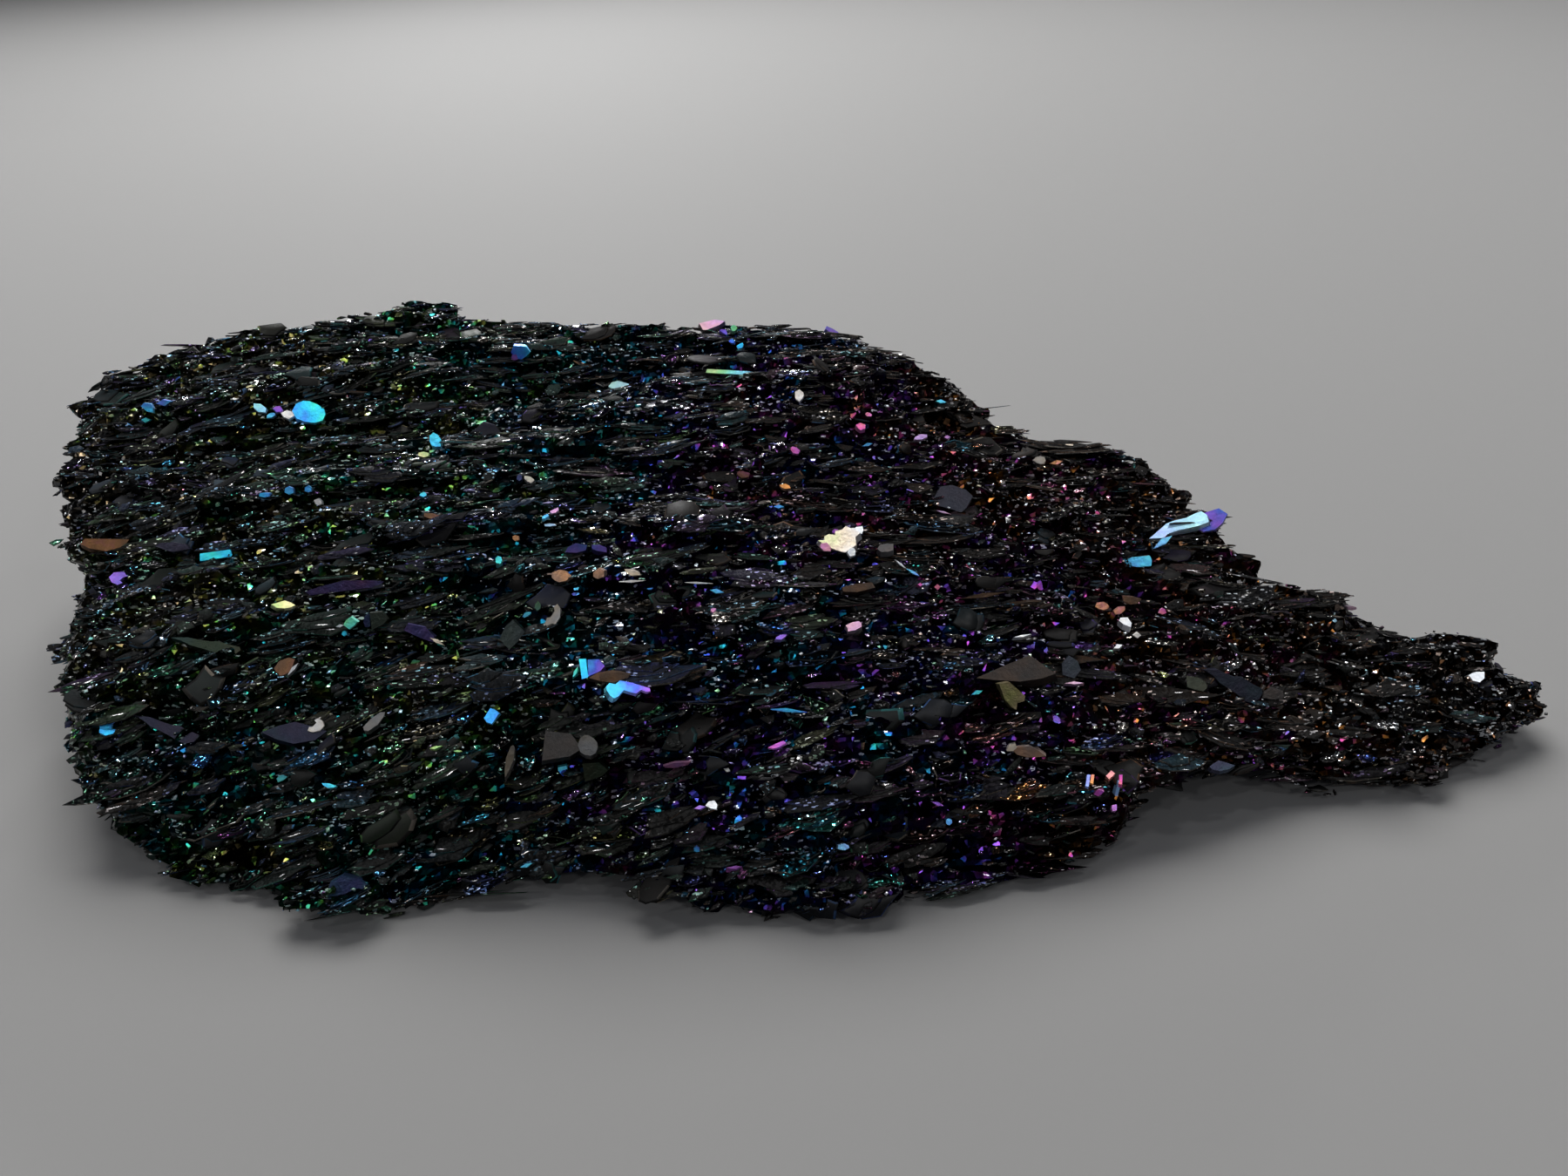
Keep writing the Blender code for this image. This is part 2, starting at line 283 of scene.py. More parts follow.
# Glint grains: their bright, pale base colour is a painted glint that shows from every side; the
# metal in them also gives real glints of the lamps.
GLINT_PAINTED_GRAINS = Growth(
    spots=13500,
    layers=(1, 2),
    corners=(4, 4),
    length=(0.12, 0.48),
    width_share=(0.35, 0.9),
    thickness=(0.05, 0.09),
    fan=30.0,
    pitch=20.0,
    roll_back=-20.0,
    roll=25.0,
    outward=0.8,
    lift=0.22,
    step=0.0,
    shine=(0.55, 1.0),
    dull=(0.22, 0.55),
    pale=(0.3, 1.0),
    matt_share=0.0,
    matt_shine=(0.45, 1.0),
    edge=(0.6, 4),
)
DULL_PLATES = Growth(
    spots=480,
    layers=(1, 3),
    corners=(8, 9),
    length=(1.2, 3.6),
    width_share=(0.3, 0.8),
    thickness=(0.08, 0.16),
    fan=30.0,
    pitch=8.0,
    roll_back=-6.0,
    roll=16.0,
    outward=0.75,
    lift=0.20,
    step=0.12,
    shine=(0.004, 0.03),
    dull=(0.50, 0.70),
    pale=(0.1, 0.6),
    matt_share=1.0,
    matt_shine=(0.004, 0.045),
    edge=(0.3, 4),
)

# The most that a plate that points outwards is pushed in, as a share of its length. How deep plates
# sink, the most that one is lifted and how near grains have to be to settle on the mass, in
# millimetres.
MOST_ROOTED = 0.46
SINK = 0.05
MOST_LIFT = 0.15
SETTLE_REACH = 3.0

# A stack: how far its layers shift along the grain as a share of their length, how unevenly they
# step back, how far apart they lie in thicknesses, how much smaller each one is than the one before
# it, how unevenly long they are, and how much their films differ.
STACK_SHIFT = 0.12
STACK_STEP = (0.4, 1.6)
STACK_PITCH = 1.02
STACK_SHRINK = 0.93
STACK_LENGTH = (0.8, 1.1)
STACK_FILM = 0.02

# Random draws: sizes bunch near the least one, and bright faces are rare.
SIZE_BUNCHING = (1.3, 2.6)
BRIGHT_RARITY = 2.6

# Matt faces, whose silver is brown instead, and the thin side faces of the plates.
MATT_DULL = (0.55, 0.75)
SILVER_FILM = 0.86
BROWN_FILM = 0.06
SILVER_EDGES = 0.2
EDGE_FILM = 0.94
EDGE_DULL = 0.70
EDGE_PALE = 0.1

# The forms that plates are drawn from: how far the sides lean in and how far the outline is skewed,
# how ragged the outline is, and how much of its cell on the bake map its top and its foot reach.
TEMPLATE_FORMS = ((0.08, 0.0), (0.16, 0.25), (0.12, -0.25), (0.22, 0.1))
TEMPLATE_CORNERS = (4, 5, 6, 7, 8, 9)
RAGGED = (0.6, 1.3)
MAP_TOP = 0.42
MAP_FOOT = 0.20

# A single crystal: how far its face stands off the surface and how deep it is, in millimetres, the
# depth growing by a share of its width. How much it turns from the surface's way to the camera, how
# ragged a plain outline is, how its top narrows and shifts, and how its side faces differ.
CRYSTAL_LIFT = 0.45
CRYSTAL_DEPTH = (0.4, 0.9)
DEPTH_FOR_WIDTH = 0.3
TO_CAMERA = 0.62
CRYSTAL_RAGGED = (0.65, 1.2)
CRYSTAL_TOP = (0.92, 0.88, 1)
TOP_SHIFT = (0.03, 0.04)
RIM_PALE = 0.15
RIM_SHINE = (0.6, 2.0)

# Outlines of crystals, in a square one unit wide.
OUTLINES = {
    "bar": ((-0.5, -0.5), (0.5, -0.42), (0.46, 0.5), (-0.47, 0.46)),
    "wedge": ((-0.5, 0.45), (0.15, 0.5), (0.5, 0.1), (0.25, -0.2), (-0.4, -0.5)),
    "kite": ((0.0, 0.5), (0.5, 0.1), (0.2, -0.25), (-0.1, -0.5), (-0.5, -0.15), (-0.3, 0.25)),
    "egg": (
        (-0.50, 0.01), (-0.39, 0.35), (-0.18, 0.50), (0.00, 0.50), (0.27, 0.35), (0.45, 0.16),
        (0.50, -0.09), (0.42, -0.38), (0.20, -0.50), (-0.11, -0.48), (-0.36, -0.33),
    ),
    "crescent": (
        (0.20, 0.50), (0.50, 0.42), (0.44, 0.15), (0.20, 0.10), (0.01, -0.18), (0.16, -0.35),
        (-0.05, -0.50), (-0.35, -0.34), (-0.50, 0.02), (-0.29, 0.37),
    ),
    "splash": (
        (-0.50, -0.06), (-0.34, -0.05), (-0.35, 0.10), (-0.24, 0.18), (-0.10, 0.15), (-0.09, 0.31),
        (0.06, 0.35), (0.16, 0.50), (0.27, 0.42), (0.36, 0.43), (0.50, 0.25), (0.38, 0.09),
        (0.39, -0.21), (0.25, -0.39), (0.13, -0.50), (0.02, -0.46), (-0.12, -0.39), (-0.31, -0.25),
    ),
    "blob": (
        (-0.50, 0.13), (-0.43, 0.34), (-0.29, 0.28), (-0.20, 0.50), (0.08, 0.39), (0.32, 0.23),
        (0.48, 0.13), (0.50, -0.03), (0.41, -0.08), (0.29, 0.02), (0.18, -0.19), (0.08, -0.14),
        (-0.10, -0.03), (-0.22, -0.40), (-0.31, -0.50), (-0.40, -0.35), (-0.48, -0.08),
    ),
    "pod": (
        (-0.50, 0.47), (-0.26, 0.47), (-0.11, 0.35), (0.05, 0.25), (0.17, 0.25), (0.33, 0.07),
        (0.48, -0.05), (0.50, -0.20), (0.44, -0.38), (0.33, -0.50), (0.21, -0.44), (0.09, -0.26),
        (-0.07, -0.08), (-0.22, 0.07), (-0.34, 0.29),
    ),
    "tongue": (
        (-0.50, -0.46), (-0.31, -0.12), (-0.20, 0.08), (-0.06, 0.19), (0.13, 0.27), (0.28, 0.42),
        (0.39, 0.50), (0.48, 0.35), (0.50, 0.08), (0.35, -0.04), (0.17, -0.12), (-0.02, -0.19),
        (-0.19, -0.31), (-0.24, -0.46),
    ),
    "triangle": (
        (-0.50, -0.36), (-0.13, 0.11), (0.20, 0.50), (0.50, -0.21), (0.33, -0.39), (0.05, -0.50),
        (-0.29, -0.43),
    ),
    "tooth": (
        (-0.50, 0.43), (-0.10, 0.50), (0.50, 0.00), (0.46, -0.18), (0.18, -0.25), (0.14, -0.50),
        (-0.06, -0.39), (-0.30, -0.11),
    ),
    "slate": (
        (-0.28, 0.44), (0.00, 0.50), (0.33, 0.35), (0.50, 0.13), (0.33, -0.26), (0.13, -0.50),
        (0.05, -0.35), (-0.48, -0.17), (-0.50, -0.02),
    ),
}

# The corners of crystals without an outline of their own, which come out ragged.
CORNERS = {"sliver": 4, "chip": 6, "slab": 8, "pebble": 9}

# The single crystals that stand out: the middle of each in the picture, its length and width there
# in pixels, its turn in degrees, its form, its film, how pale and how bright it is, and by how much
# the film changes from its left end to its right end. On the bright ones that brightness is a
# painted glint: a pale base colour, near white, in place of the light that they reflect.
Crystal = namedtuple("Crystal", "u v long wide turn form film pale shine drift", defaults=(0.0,))

CRYSTALS = (
    Crystal(1390, 598, 46, 34, 20, "slab", 0.36, 0.05, 0.42, 0.12),
    Crystal(1354, 606, 68, 33, 0, "tongue", 0.49, 0.50, 0.95),
    Crystal(1336, 622, 26, 9, 35, "sliver", 0.47, 0.20, 0.90),
    Crystal(964, 623, 53, 38, 0, "splash", 0.90, 0.35, 0.95, 0.10),
    Crystal(947, 628, 20, 13, -20, "chip", 0.18, 0.25, 0.80),
    Crystal(958, 613, 9, 6, 20, "chip", 0.26, 0.00, 0.35),
    Crystal(972, 622, 13, 12, 0, "pebble", 0.92, 0.10, 0.75),
    Crystal(985, 611, 18, 12, 30, "chip", 0.97, 0.90, 1.00),
    Crystal(978, 634, 12, 14, -20, "chip", 0.97, 0.85, 0.95),
    Crystal(1092, 577, 50, 41, 0, "slate", 0.38, 0.55, 0.025),
    Crystal(1082, 589, 27, 3, -15, "sliver", 0.20, 0.45, 0.65),
    Crystal(355, 474, 36, 26, 0, "egg", 0.51, 0.00, 0.95, 0.12),
    Crystal(348, 477, 22, 12, -45, "wedge", 0.90, 0.25, 0.95, -0.10),
    Crystal(331, 477, 16, 10, 10, "chip", 0.95, 0.60, 0.95),
    Crystal(320, 471, 10, 8, -30, "chip", 0.34, 0.05, 0.70),
    Crystal(312, 478, 10, 6, 20, "chip", 0.50, 0.10, 0.85),
    Crystal(299, 470, 18, 11, -20, "chip", 0.50, 0.35, 0.90),
    Crystal(249, 638, 34, 9, 9, "bar", 0.54, 0.00, 1.00),
    Crystal(140, 665, 21, 16, 0, "crescent", 0.31, 0.10, 0.70),
    Crystal(128, 836, 22, 18, 40, "crescent", 0.47, 0.00, 0.90),
    Crystal(720, 794, 54, 24, 0, "blob", 0.41, 0.05, 0.95, -0.20),
    Crystal(703, 797, 9, 9, 0, "pebble", 0.11, 0.25, 0.90),
    Crystal(671, 770, 26, 9, -80, "bar", 0.52, 0.00, 0.85),
    Crystal(685, 770, 21, 23, 0, "wedge", 0.38, 0.02, 0.50, -0.12),
    Crystal(661, 775, 20, 6, 70, "sliver", 0.60, 0.05, 0.60),
    Crystal(703, 780, 46, 16, 8, "slab", 0.06, 0.00, 0.050),
    Crystal(1248, 899, 15, 4, 75, "bar", 0.44, 0.30, 0.90),
    Crystal(1253, 897, 11, 4, 75, "bar", 0.14, 0.05, 0.90),
    Crystal(1260, 906, 12, 9, 10, "kite", 0.23, 0.00, 0.85),
    Crystal(1274, 892, 10, 6, 40, "bar", 0.12, 0.15, 0.95),
    Crystal(1281, 902, 18, 4, 80, "bar", 0.45, 0.35, 0.90),
    Crystal(1286, 898, 12, 4, 80, "bar", 0.22, 0.00, 0.90),
    Crystal(1289, 906, 4, 4, 0, "chip", 0.30, 0.10, 0.80),
    Crystal(1296, 901, 5, 5, 0, "chip", 0.55, 0.00, 0.90),
    Crystal(1278, 928, 9, 8, 45, "kite", 0.21, 0.15, 0.85),
    Crystal(1414, 788, 64, 41, 0, "pod", 0.42, 0.45, 0.033),
    Crystal(1372, 790, 30, 20, -20, "slab", 0.80, 0.45, 0.028),
    Crystal(1166, 771, 96, 35, 0, "triangle", 0.06, 0.25, 0.033),
    Crystal(1160, 799, 31, 35, 0, "tooth", 0.87, 0.00, 0.09),
    Crystal(404, 715, 16, 15, 0, "kite", 0.61, 0.10, 0.90),
    Crystal(391, 718, 9, 4, 10, "sliver", 0.97, 0.90, 1.00),
    Crystal(396, 726, 6, 7, 0, "chip", 0.53, 0.00, 0.90),
    Crystal(436, 713, 20, 22, 0, "wedge", 0.68, 0.50, 0.022),
    Crystal(423, 713, 8, 15, 0, "slab", 0.40, 0.05, 0.055),
    Crystal(599, 404, 22, 23, 0, "slab", 0.44, 0.00, 0.90, 0.08),
    Crystal(591, 411, 8, 10, 0, "chip", 0.30, 0.00, 0.14),
    Crystal(818, 376, 31, 12, 15, "wedge", 0.22, 0.40, 0.80, 0.10),
    Crystal(831, 384, 11, 6, -35, "chip", 0.32, 0.02, 0.60),
    Crystal(841, 393, 8, 5, -20, "chip", 0.42, 0.00, 0.80),
    Crystal(851, 398, 10, 7, 30, "chip", 0.50, 0.00, 0.90),
    Crystal(842, 380, 8, 8, 0, "pebble", 0.66, 0.10, 0.50),
    Crystal(839, 428, 56, 5, -4, "bar", 0.60, 0.25, 0.90, -0.30),
    Crystal(125, 628, 55, 16, 3, "slab", 0.10, 0.00, 0.12),
    Crystal(200, 629, 36, 12, -4, "slab", 0.37, 0.40, 0.039),
    Crystal(630, 577, 15, 3, 8, "sliver", 0.26, 0.60, 0.80),
    Crystal(637, 589, 12, 6, 30, "chip", 0.22, 0.35, 0.85),
    Crystal(626, 596, 9, 5, 30, "chip", 0.45, 0.10, 0.85),
    Crystal(632, 603, 15, 5, 5, "chip", 0.44, 0.50, 0.90),
    Crystal(608, 553, 15, 8, -35, "slab", 0.93, 0.55, 0.35),
    Crystal(597, 551, 8, 10, 0, "chip", 0.44, 0.10, 0.066),
    Crystal(396, 674, 92, 13, 8, "slab", 0.31, 0.00, 0.050),
    Crystal(1307, 645, 36, 18, 5, "slab", 0.50, 0.09, 0.95),
    Crystal(703, 779, 50, 16, 8, "slab", 0.05, 0.06, 0.10),
    Crystal(645, 662, 26, 16, 15, "pebble", 0.09, 0.12, 0.50),
    Crystal(688, 659, 14, 20, -60, "chip", 0.09, 0.20, 0.40),
    Crystal(727, 657, 20, 8, -10, "chip", 0.92, 0.25, 0.55),
    Crystal(725, 667, 42, 3, 3, "sliver", 0.97, 0.49, 0.85),
    Crystal(800, 669, 36, 3, -2, "sliver", 0.97, 0.49, 0.70),
    Crystal(902, 561, 16, 7, -5, "chip", 0.10, 0.02, 0.80),
    Crystal(894, 583, 14, 5, 0, "sliver", 0.46, 0.04, 0.60),
    Crystal(852, 545, 18, 10, -10, "chip", 0.13, 0.04, 0.11),
    Crystal(987, 493, 12, 9, 0, "chip", 0.20, 0.02, 0.80),
    Crystal(912, 518, 14, 9, -30, "chip", 0.27, 0.04, 0.70),
    Crystal(996, 511, 14, 5, 15, "sliver", 0.45, 0.09, 0.80),
    Crystal(1057, 503, 18, 6, 10, "chip", 0.24, 0.36, 0.75),
    Crystal(1087, 503, 10, 5, 0, "sliver", 0.22, 0.25, 0.60),
    Crystal(1225, 513, 20, 6, 5, "chip", 0.90, 0.16, 0.80),
    Crystal(1213, 531, 14, 6, 10, "sliver", 0.10, 0.09, 0.70),
    Crystal(1194, 529, 14, 11, 0, "slab", 0.97, 0.36, 0.35),
    Crystal(327, 697, 24, 12, 5, "slab", 0.78, 0.20, 0.95),
    Crystal(1290, 718, 20, 12, -35, "chip", 0.97, 0.64, 0.95),
    Crystal(1305, 729, 12, 9, 0, "sliver", 0.97, 0.64, 0.85),
    Crystal(1283, 745, 12, 6, 20, "sliver", 0.97, 0.64, 0.70),
    Crystal(1694, 778, 16, 14, 10, "chip", 0.97, 0.81, 0.80),
    Crystal(1460, 797, 28, 16, 0, "chip", 0.06, 0.49, 0.055),
    Crystal(1229, 767, 24, 26, 10, "chip", 0.44, 0.56, 0.028),
    Crystal(1128, 684, 64, 7, 8, "sliver", 0.10, 0.09, 0.066),
    Crystal(645, 860, 48, 40, -10, "wedge", 0.04, 0.45, 0.015),
    Crystal(675, 857, 24, 26, 0, "egg", 0.95, 0.40, 0.050),
    Crystal(684, 884, 31, 25, 0, "wedge", 0.76, 0.20, 0.019),
    Crystal(646, 880, 11, 5, 10, "bar", 0.55, 0.10, 0.90),
    Crystal(818, 925, 16, 12, -20, "chip", 0.97, 0.64, 0.90),
    Crystal(804, 928, 12, 5, 10, "sliver", 0.30, 0.16, 0.70),
    Crystal(902, 815, 54, 4, -4, "sliver", 0.45, 0.04, 0.75),
    Crystal(893, 857, 22, 8, 25, "chip", 0.21, 0.04, 0.80),
    Crystal(1178, 861, 40, 16, -10, "slab", 0.08, 0.25, 0.40),
    Crystal(1160, 856, 14, 10, 20, "chip", 0.90, 0.36, 0.60),
    Crystal(980, 722, 24, 11, 20, "slab", 0.16, 0.42, 0.75),
    Crystal(895, 734, 16, 6, 15, "chip", 0.28, 0.09, 0.60),
    Crystal(982, 677, 46, 14, 10, "chip", 0.05, 0.09, 0.055),
    Crystal(1018, 633, 22, 14, 5, "slab", 0.05, 0.56, 0.15),
    Crystal(1033, 648, 16, 4, -40, "sliver", 0.97, 0.49, 0.60),
    Crystal(1048, 658, 18, 5, -30, "sliver", 0.46, 0.16, 0.80),
    Crystal(822, 679, 20, 5, -10, "sliver", 0.47, 0.09, 0.80),
    Crystal(819, 704, 8, 7, 0, "chip", 0.22, 0.25, 0.80),
    Crystal(1076, 674, 9, 7, 0, "sliver", 0.20, 0.04, 0.70),
    Crystal(1055, 673, 9, 5, 0, "sliver", 0.21, 0.04, 0.60),
    Crystal(1334, 701, 8, 9, 0, "chip", 0.20, 0.04, 0.80),
    Crystal(1267, 697, 18, 12, 0, "slab", 0.12, 0.09, 0.55),
    Crystal(1285, 701, 14, 9, 20, "chip", 0.10, 0.09, 0.50),
    Crystal(1299, 689, 22, 12, -10, "chip", 0.06, 0.12, 0.13),
    Crystal(1122, 795, 14, 5, 20, "sliver", 0.53, 0.04, 0.60),
    Crystal(1232, 787, 24, 4, 0, "sliver", 0.22, 0.49, 0.65),
    Crystal(1172, 733, 26, 3, 10, "sliver", 0.97, 0.64, 0.75),
    Crystal(918, 455, 14, 13, 0, "slab", 0.92, 0.56, 0.90),
    Crystal(500, 508, 14, 20, 10, "slab", 0.53, 0.04, 0.85),
    Crystal(487, 523, 14, 8, 0, "chip", 0.80, 0.25, 0.70),
    Crystal(487, 571, 10, 7, 0, "chip", 0.52, 0.06, 0.80),
    Crystal(573, 646, 10, 14, 20, "chip", 0.54, 0.04, 0.80),
    Crystal(497, 596, 22, 9, -5, "chip", 0.09, 0.12, 0.15),
    Crystal(592, 618, 10, 9, 0, "chip", 0.10, 0.09, 0.55),
    Crystal(662, 631, 30, 13, 5, "chip", 0.38, 0.02, 0.11),
    Crystal(688, 633, 22, 12, -10, "chip", 0.35, 0.02, 0.13),
    Crystal(485, 727, 40, 16, -25, "chip", 0.35, 0.12, 0.10),
    Crystal(503, 737, 20, 5, -30, "sliver", 0.93, 0.36, 0.45),
    Crystal(590, 729, 30, 38, 0, "kite", 0.60, 0.50, 0.017),
    Crystal(240, 745, 72, 24, 5, "pod", 0.70, 0.15, 0.018, 0.25),
    Crystal(190, 838, 70, 26, -4, "pod", 0.36, 0.05, 0.018),
    Crystal(565, 823, 16, 20, -30, "slab", 0.46, 0.00, 0.90),
    Crystal(500, 860, 16, 4, 15, "sliver", 0.78, 0.16, 0.60),
    Crystal(527, 864, 12, 4, 0, "sliver", 0.75, 0.16, 0.55),
    Crystal(380, 903, 20, 5, -10, "chip", 0.54, 0.04, 0.75),
    Crystal(325, 891, 12, 9, 30, "chip", 0.56, 0.12, 0.75),
    Crystal(367, 577, 10, 9, 0, "chip", 0.97, 0.72, 0.65),
    Crystal(395, 1019, 50, 32, 5, "slab", 0.42, 0.04, 0.055),
    Crystal(172, 468, 14, 10, -30, "chip", 0.50, 0.04, 0.85),
    Crystal(190, 462, 14, 8, 10, "sliver", 0.45, 0.09, 0.75),
    Crystal(168, 482, 10, 6, 0, "sliver", 0.52, 0.04, 0.70),
    Crystal(203, 438, 14, 10, 30, "chip", 0.42, 0.06, 0.45),
    Crystal(305, 568, 12, 7, 0, "chip", 0.47, 0.02, 0.85),
    Crystal(333, 563, 10, 10, 0, "chip", 0.47, 0.04, 0.75),
    Crystal(355, 562, 8, 8, 0, "chip", 0.46, 0.02, 0.75),
    Crystal(710, 445, 22, 14, 10, "slab", 0.60, 0.56, 0.50),
    Crystal(1078, 463, 14, 5, -5, "sliver", 0.53, 0.09, 0.70),
    Crystal(955, 382, 18, 8, -25, "chip", 0.36, 0.12, 0.40),
    Crystal(365, 834, 17, 17, 180, "crescent", 0.93, 0.45, 0.36),
    Crystal(340, 843, 60, 28, 3, "slab", 0.40, 0.05, 0.019),
    Crystal(432, 830, 33, 10, 48, "slab", 0.97, 0.50, 0.10),
    Crystal(586, 874, 52, 9, 85, "slab", 0.93, 0.25, 0.061),
    Crystal(637, 709, 16, 32, 170, "crescent", 0.94, 0.40, 0.15),
    Crystal(618, 699, 10, 12, 0, "chip", 0.68, 0.15, 0.050),
    Crystal(329, 768, 27, 18, 45, "slab", 0.08, 0.05, 0.10),
    Crystal(338, 770, 22, 4, 58, "sliver", 0.97, 0.50, 0.25),
    Crystal(775, 877, 40, 6, 8, "chip", 0.20, 0.16, 0.15),
    Crystal(845, 1000, 20, 5, 5, "sliver", 0.25, 0.09, 0.60),
    Crystal(800, 972, 8, 9, 0, "chip", 0.46, 0.04, 0.80),
    Crystal(968, 972, 16, 8, 0, "chip", 0.47, 0.25, 0.60),
    Crystal(1088, 942, 8, 10, 0, "chip", 0.47, 0.09, 0.70),
    Crystal(1075, 922, 14, 5, -20, "sliver", 0.24, 0.06, 0.60),
    Crystal(605, 993, 14, 5, 20, "sliver", 0.55, 0.09, 0.60),
    Crystal(1398, 882, 30, 12, 0, "slab", 0.42, 0.36, 0.055),
    Crystal(1548, 697, 16, 7, 0, "chip", 0.20, 0.49, 0.30),
)


class Value:
    """A socket of a material that takes part in arithmetic: each operator adds a Math node."""

    def __init__(self, finish, socket):
        self.finish = finish
        self.socket = socket

    def maths(self, operation, left, right):
        settings = {"operation": operation}
        return self.finish.add("ShaderNodeMath", settings, {0: left, 1: right})

    def __add__(self, other):
        return self.maths("ADD", self, other)

    __radd__ = __add__

    def __sub__(self, other):
        return self.maths("SUBTRACT", self, other)

    def __rsub__(self, other):
        return self.maths("SUBTRACT", other, self)

    def __mul__(self, other):
        return self.maths("MULTIPLY", self, other)

    __rmul__ = __mul__


class Finish:
    """A material under construction."""

    def __init__(self, name):
        self.material = bpy.data.materials.new(name)
        self.material.use_nodes = True
        self.tree = self.material.node_tree
        self.shader = self.tree.nodes["Principled BSDF"]

    def feed(self, socket, value):
        if isinstance(value, Value):
            self.tree.links.new(value.socket, socket)
        else:
            socket.default_value = value

    def add(self, kind, settings=None, inputs=None, output=0):
        """Adds a node: first its settings, or a ramp's stops, and then its sockets."""
        node = self.tree.nodes.new(kind)
        for name, value in (settings or {}).items():
            if name == "stops":
                self.set_stops(node.color_ramp, value)
            else:
                setattr(node, name, value)
        for key, value in (inputs or {}).items():
            self.feed(node.inputs[key], value)
        return Value(self, node.outputs[output])

    def set_stops(self, ramp, stops):
        while len(ramp.elements) < len(stops):
            ramp.elements.new(1.0)
        for element, (place, colour) in zip(ramp.elements, stops):
            element.position = place
            element.color = (*colour, 1.0)

    def skin(self, **sockets):
        for name, value in sockets.items():
            self.feed(self.shader.inputs[name.replace("_", " ")], value)

    def attribute(self, name, output):
        return self.add("ShaderNodeAttribute", {"attribute_name": name}, output=output)

    def object_place(self):
        return self.add("ShaderNodeTexCoord", output="Object")

    def noise(self, scale, detail=2.0, roughness=0.5):
        inputs = {"Vector": self.object_place(), "Scale": scale}
        inputs.update({"Detail": detail, "Roughness": roughness})
        return self.add("ShaderNodeTexNoise", None, inputs, "Fac")

    def vector_maths(self, operation, first, second, output=0):
        settings = {"operation": operation}
        return self.add("ShaderNodeVectorMath", settings, {0: first, 1: second}, output)

    def facets(self, size, tilt):
        """Bump height of small flat facets, each tilted its own way, like its cell's slope."""
        place = self.object_place()
        cells = {"Vector": place, "Scale": 1 / size}
        centre = self.add("ShaderNodeTexVoronoi", None, cells, "Position")
        colour = self.add("ShaderNodeTexVoronoi", None, cells, "Color")
        from_centre = self.vector_maths("SUBTRACT", place, centre)
        slope = self.vector_maths("SUBTRACT", colour, (0.5, 0.5, 0.5))
        return self.vector_maths("DOT_PRODUCT", from_centre, slope, "Value") * tilt

    def painted_glints(self, size, share):
        """1 on that share of small angular cells, drawn out along the grain, and 0 elsewhere: the
        spots of painted glint.
        """
        cells = self.add(
            "ShaderNodeTexVoronoi",
            {"distance": "CHEBYCHEV"},
            {"Vector": self.scaled_place((0.5, 1.0, 1.0)), "Scale": 1 / size},
            "Color",
        )
        draw = self.vector_maths("DOT_PRODUCT", cells, (1, 0, 0), "Value")
        return self.add("ShaderNodeMath", {"operation": "LESS_THAN"}, {0: draw, 1: share})

    def patchy_painted_glints(self, size, patches):
        """Flecks of painted glint that lie in patches, made by a broad noise of that scale."""
        return self.painted_glints(size, (self.noise(patches) - PATCH_START) * PATCH_SLOPE)

    def scaled_place(self, scale):
        return self.add("ShaderNodeMapping", None, {"Vector": self.object_place(), "Scale": scale})

    def mixed(self, share, first, second):
        settings = {"data_type": "RGBA", "clamp_factor": True}
        inputs = {"Factor": share, "A": first, "B": second}
        return self.add("ShaderNodeMix", settings, inputs, "Result")

    def scaled(self, colour, factor):
        inputs = {0: colour, "Scale": factor}
        return self.add("ShaderNodeVectorMath", {"operation": "SCALE"}, inputs)

    def bump(self, height, strength, distance):
        inputs = {"Height": height, "Strength": strength, "Distance": distance}
        return self.add("ShaderNodeBump", None, inputs)


def film_colour(finish, film, pale):
    """The colour of a film, mixed with that share of a pale blue white."""
    colour = finish.add("ShaderNodeValToRGB", {"stops": FILM_COLOURS}, {"Fac": film}, "Color")
    return finish.mixed(pale, colour, PALE)


def film_skin(name):
    """Small plates, mirror-like or matt, with tiny pale flecks of painted glint: each face has its
    own film.
    """
    finish = Finish(name)
    film = finish.attribute("film", "Fac") + (finish.noise(900.0) - 0.5) * 0.12
    shine = finish.attribute("shine", "Fac")
    dull = finish.attribute("dull", "Fac")
    pale = finish.attribute("pale", "Fac")
    painted_glint = finish.patchy_painted_glints(PLATE_PAINTED_GLINT, 260.0)
    uneven = 0.3 + finish.noise(3500.0) * 1.4
    # Painted glints: on a fleck the face's base colour goes up to full brightness, paler and less
    # metallic.
    brightness = shine * uneven * (1 - painted_glint) + painted_glint * uneven
    height = finish.facets(LARGE_FACET, 0.35) + finish.facets(SMALL_FACET, 0.8)
    finish.skin(
        Base_Color=finish.scaled(film_colour(finish, film, pale + painted_glint * 0.4), brightness),
        Roughness=dull,
        Metallic=(1.35 - dull * 2.0) * (1 - painted_glint * 0.8),
        Specular_IOR_Level=0.08,
        Coat_Weight=0.06,
        Coat_Roughness=0.05,
        Normal=finish.bump(height, 1.0, 1.0),
    )
    return finish.material


def dull_skin(name):
    """Broad plates with a matt grey, brown or dark blue face and fine growth lines."""
    finish = Finish(name)
    mottle = finish.noise(2200.0, 4.0, 0.7)
    shine = finish.attribute("shine", "Fac") * (0.5 + mottle)
    colour = film_colour(finish, finish.attribute("film", "Fac"), finish.attribute("pale", "Fac"))
    finish.skin(
        Base_Color=finish.scaled(colour, shine),
        Roughness=finish.attribute("dull", "Fac") + (mottle - 0.5) * 0.2,
        Specular_IOR_Level=0.08,
        Normal=finish.bump(finish.noise(5200.0, 3.0), 0.25, 0.00004),
    )
    return finish.material


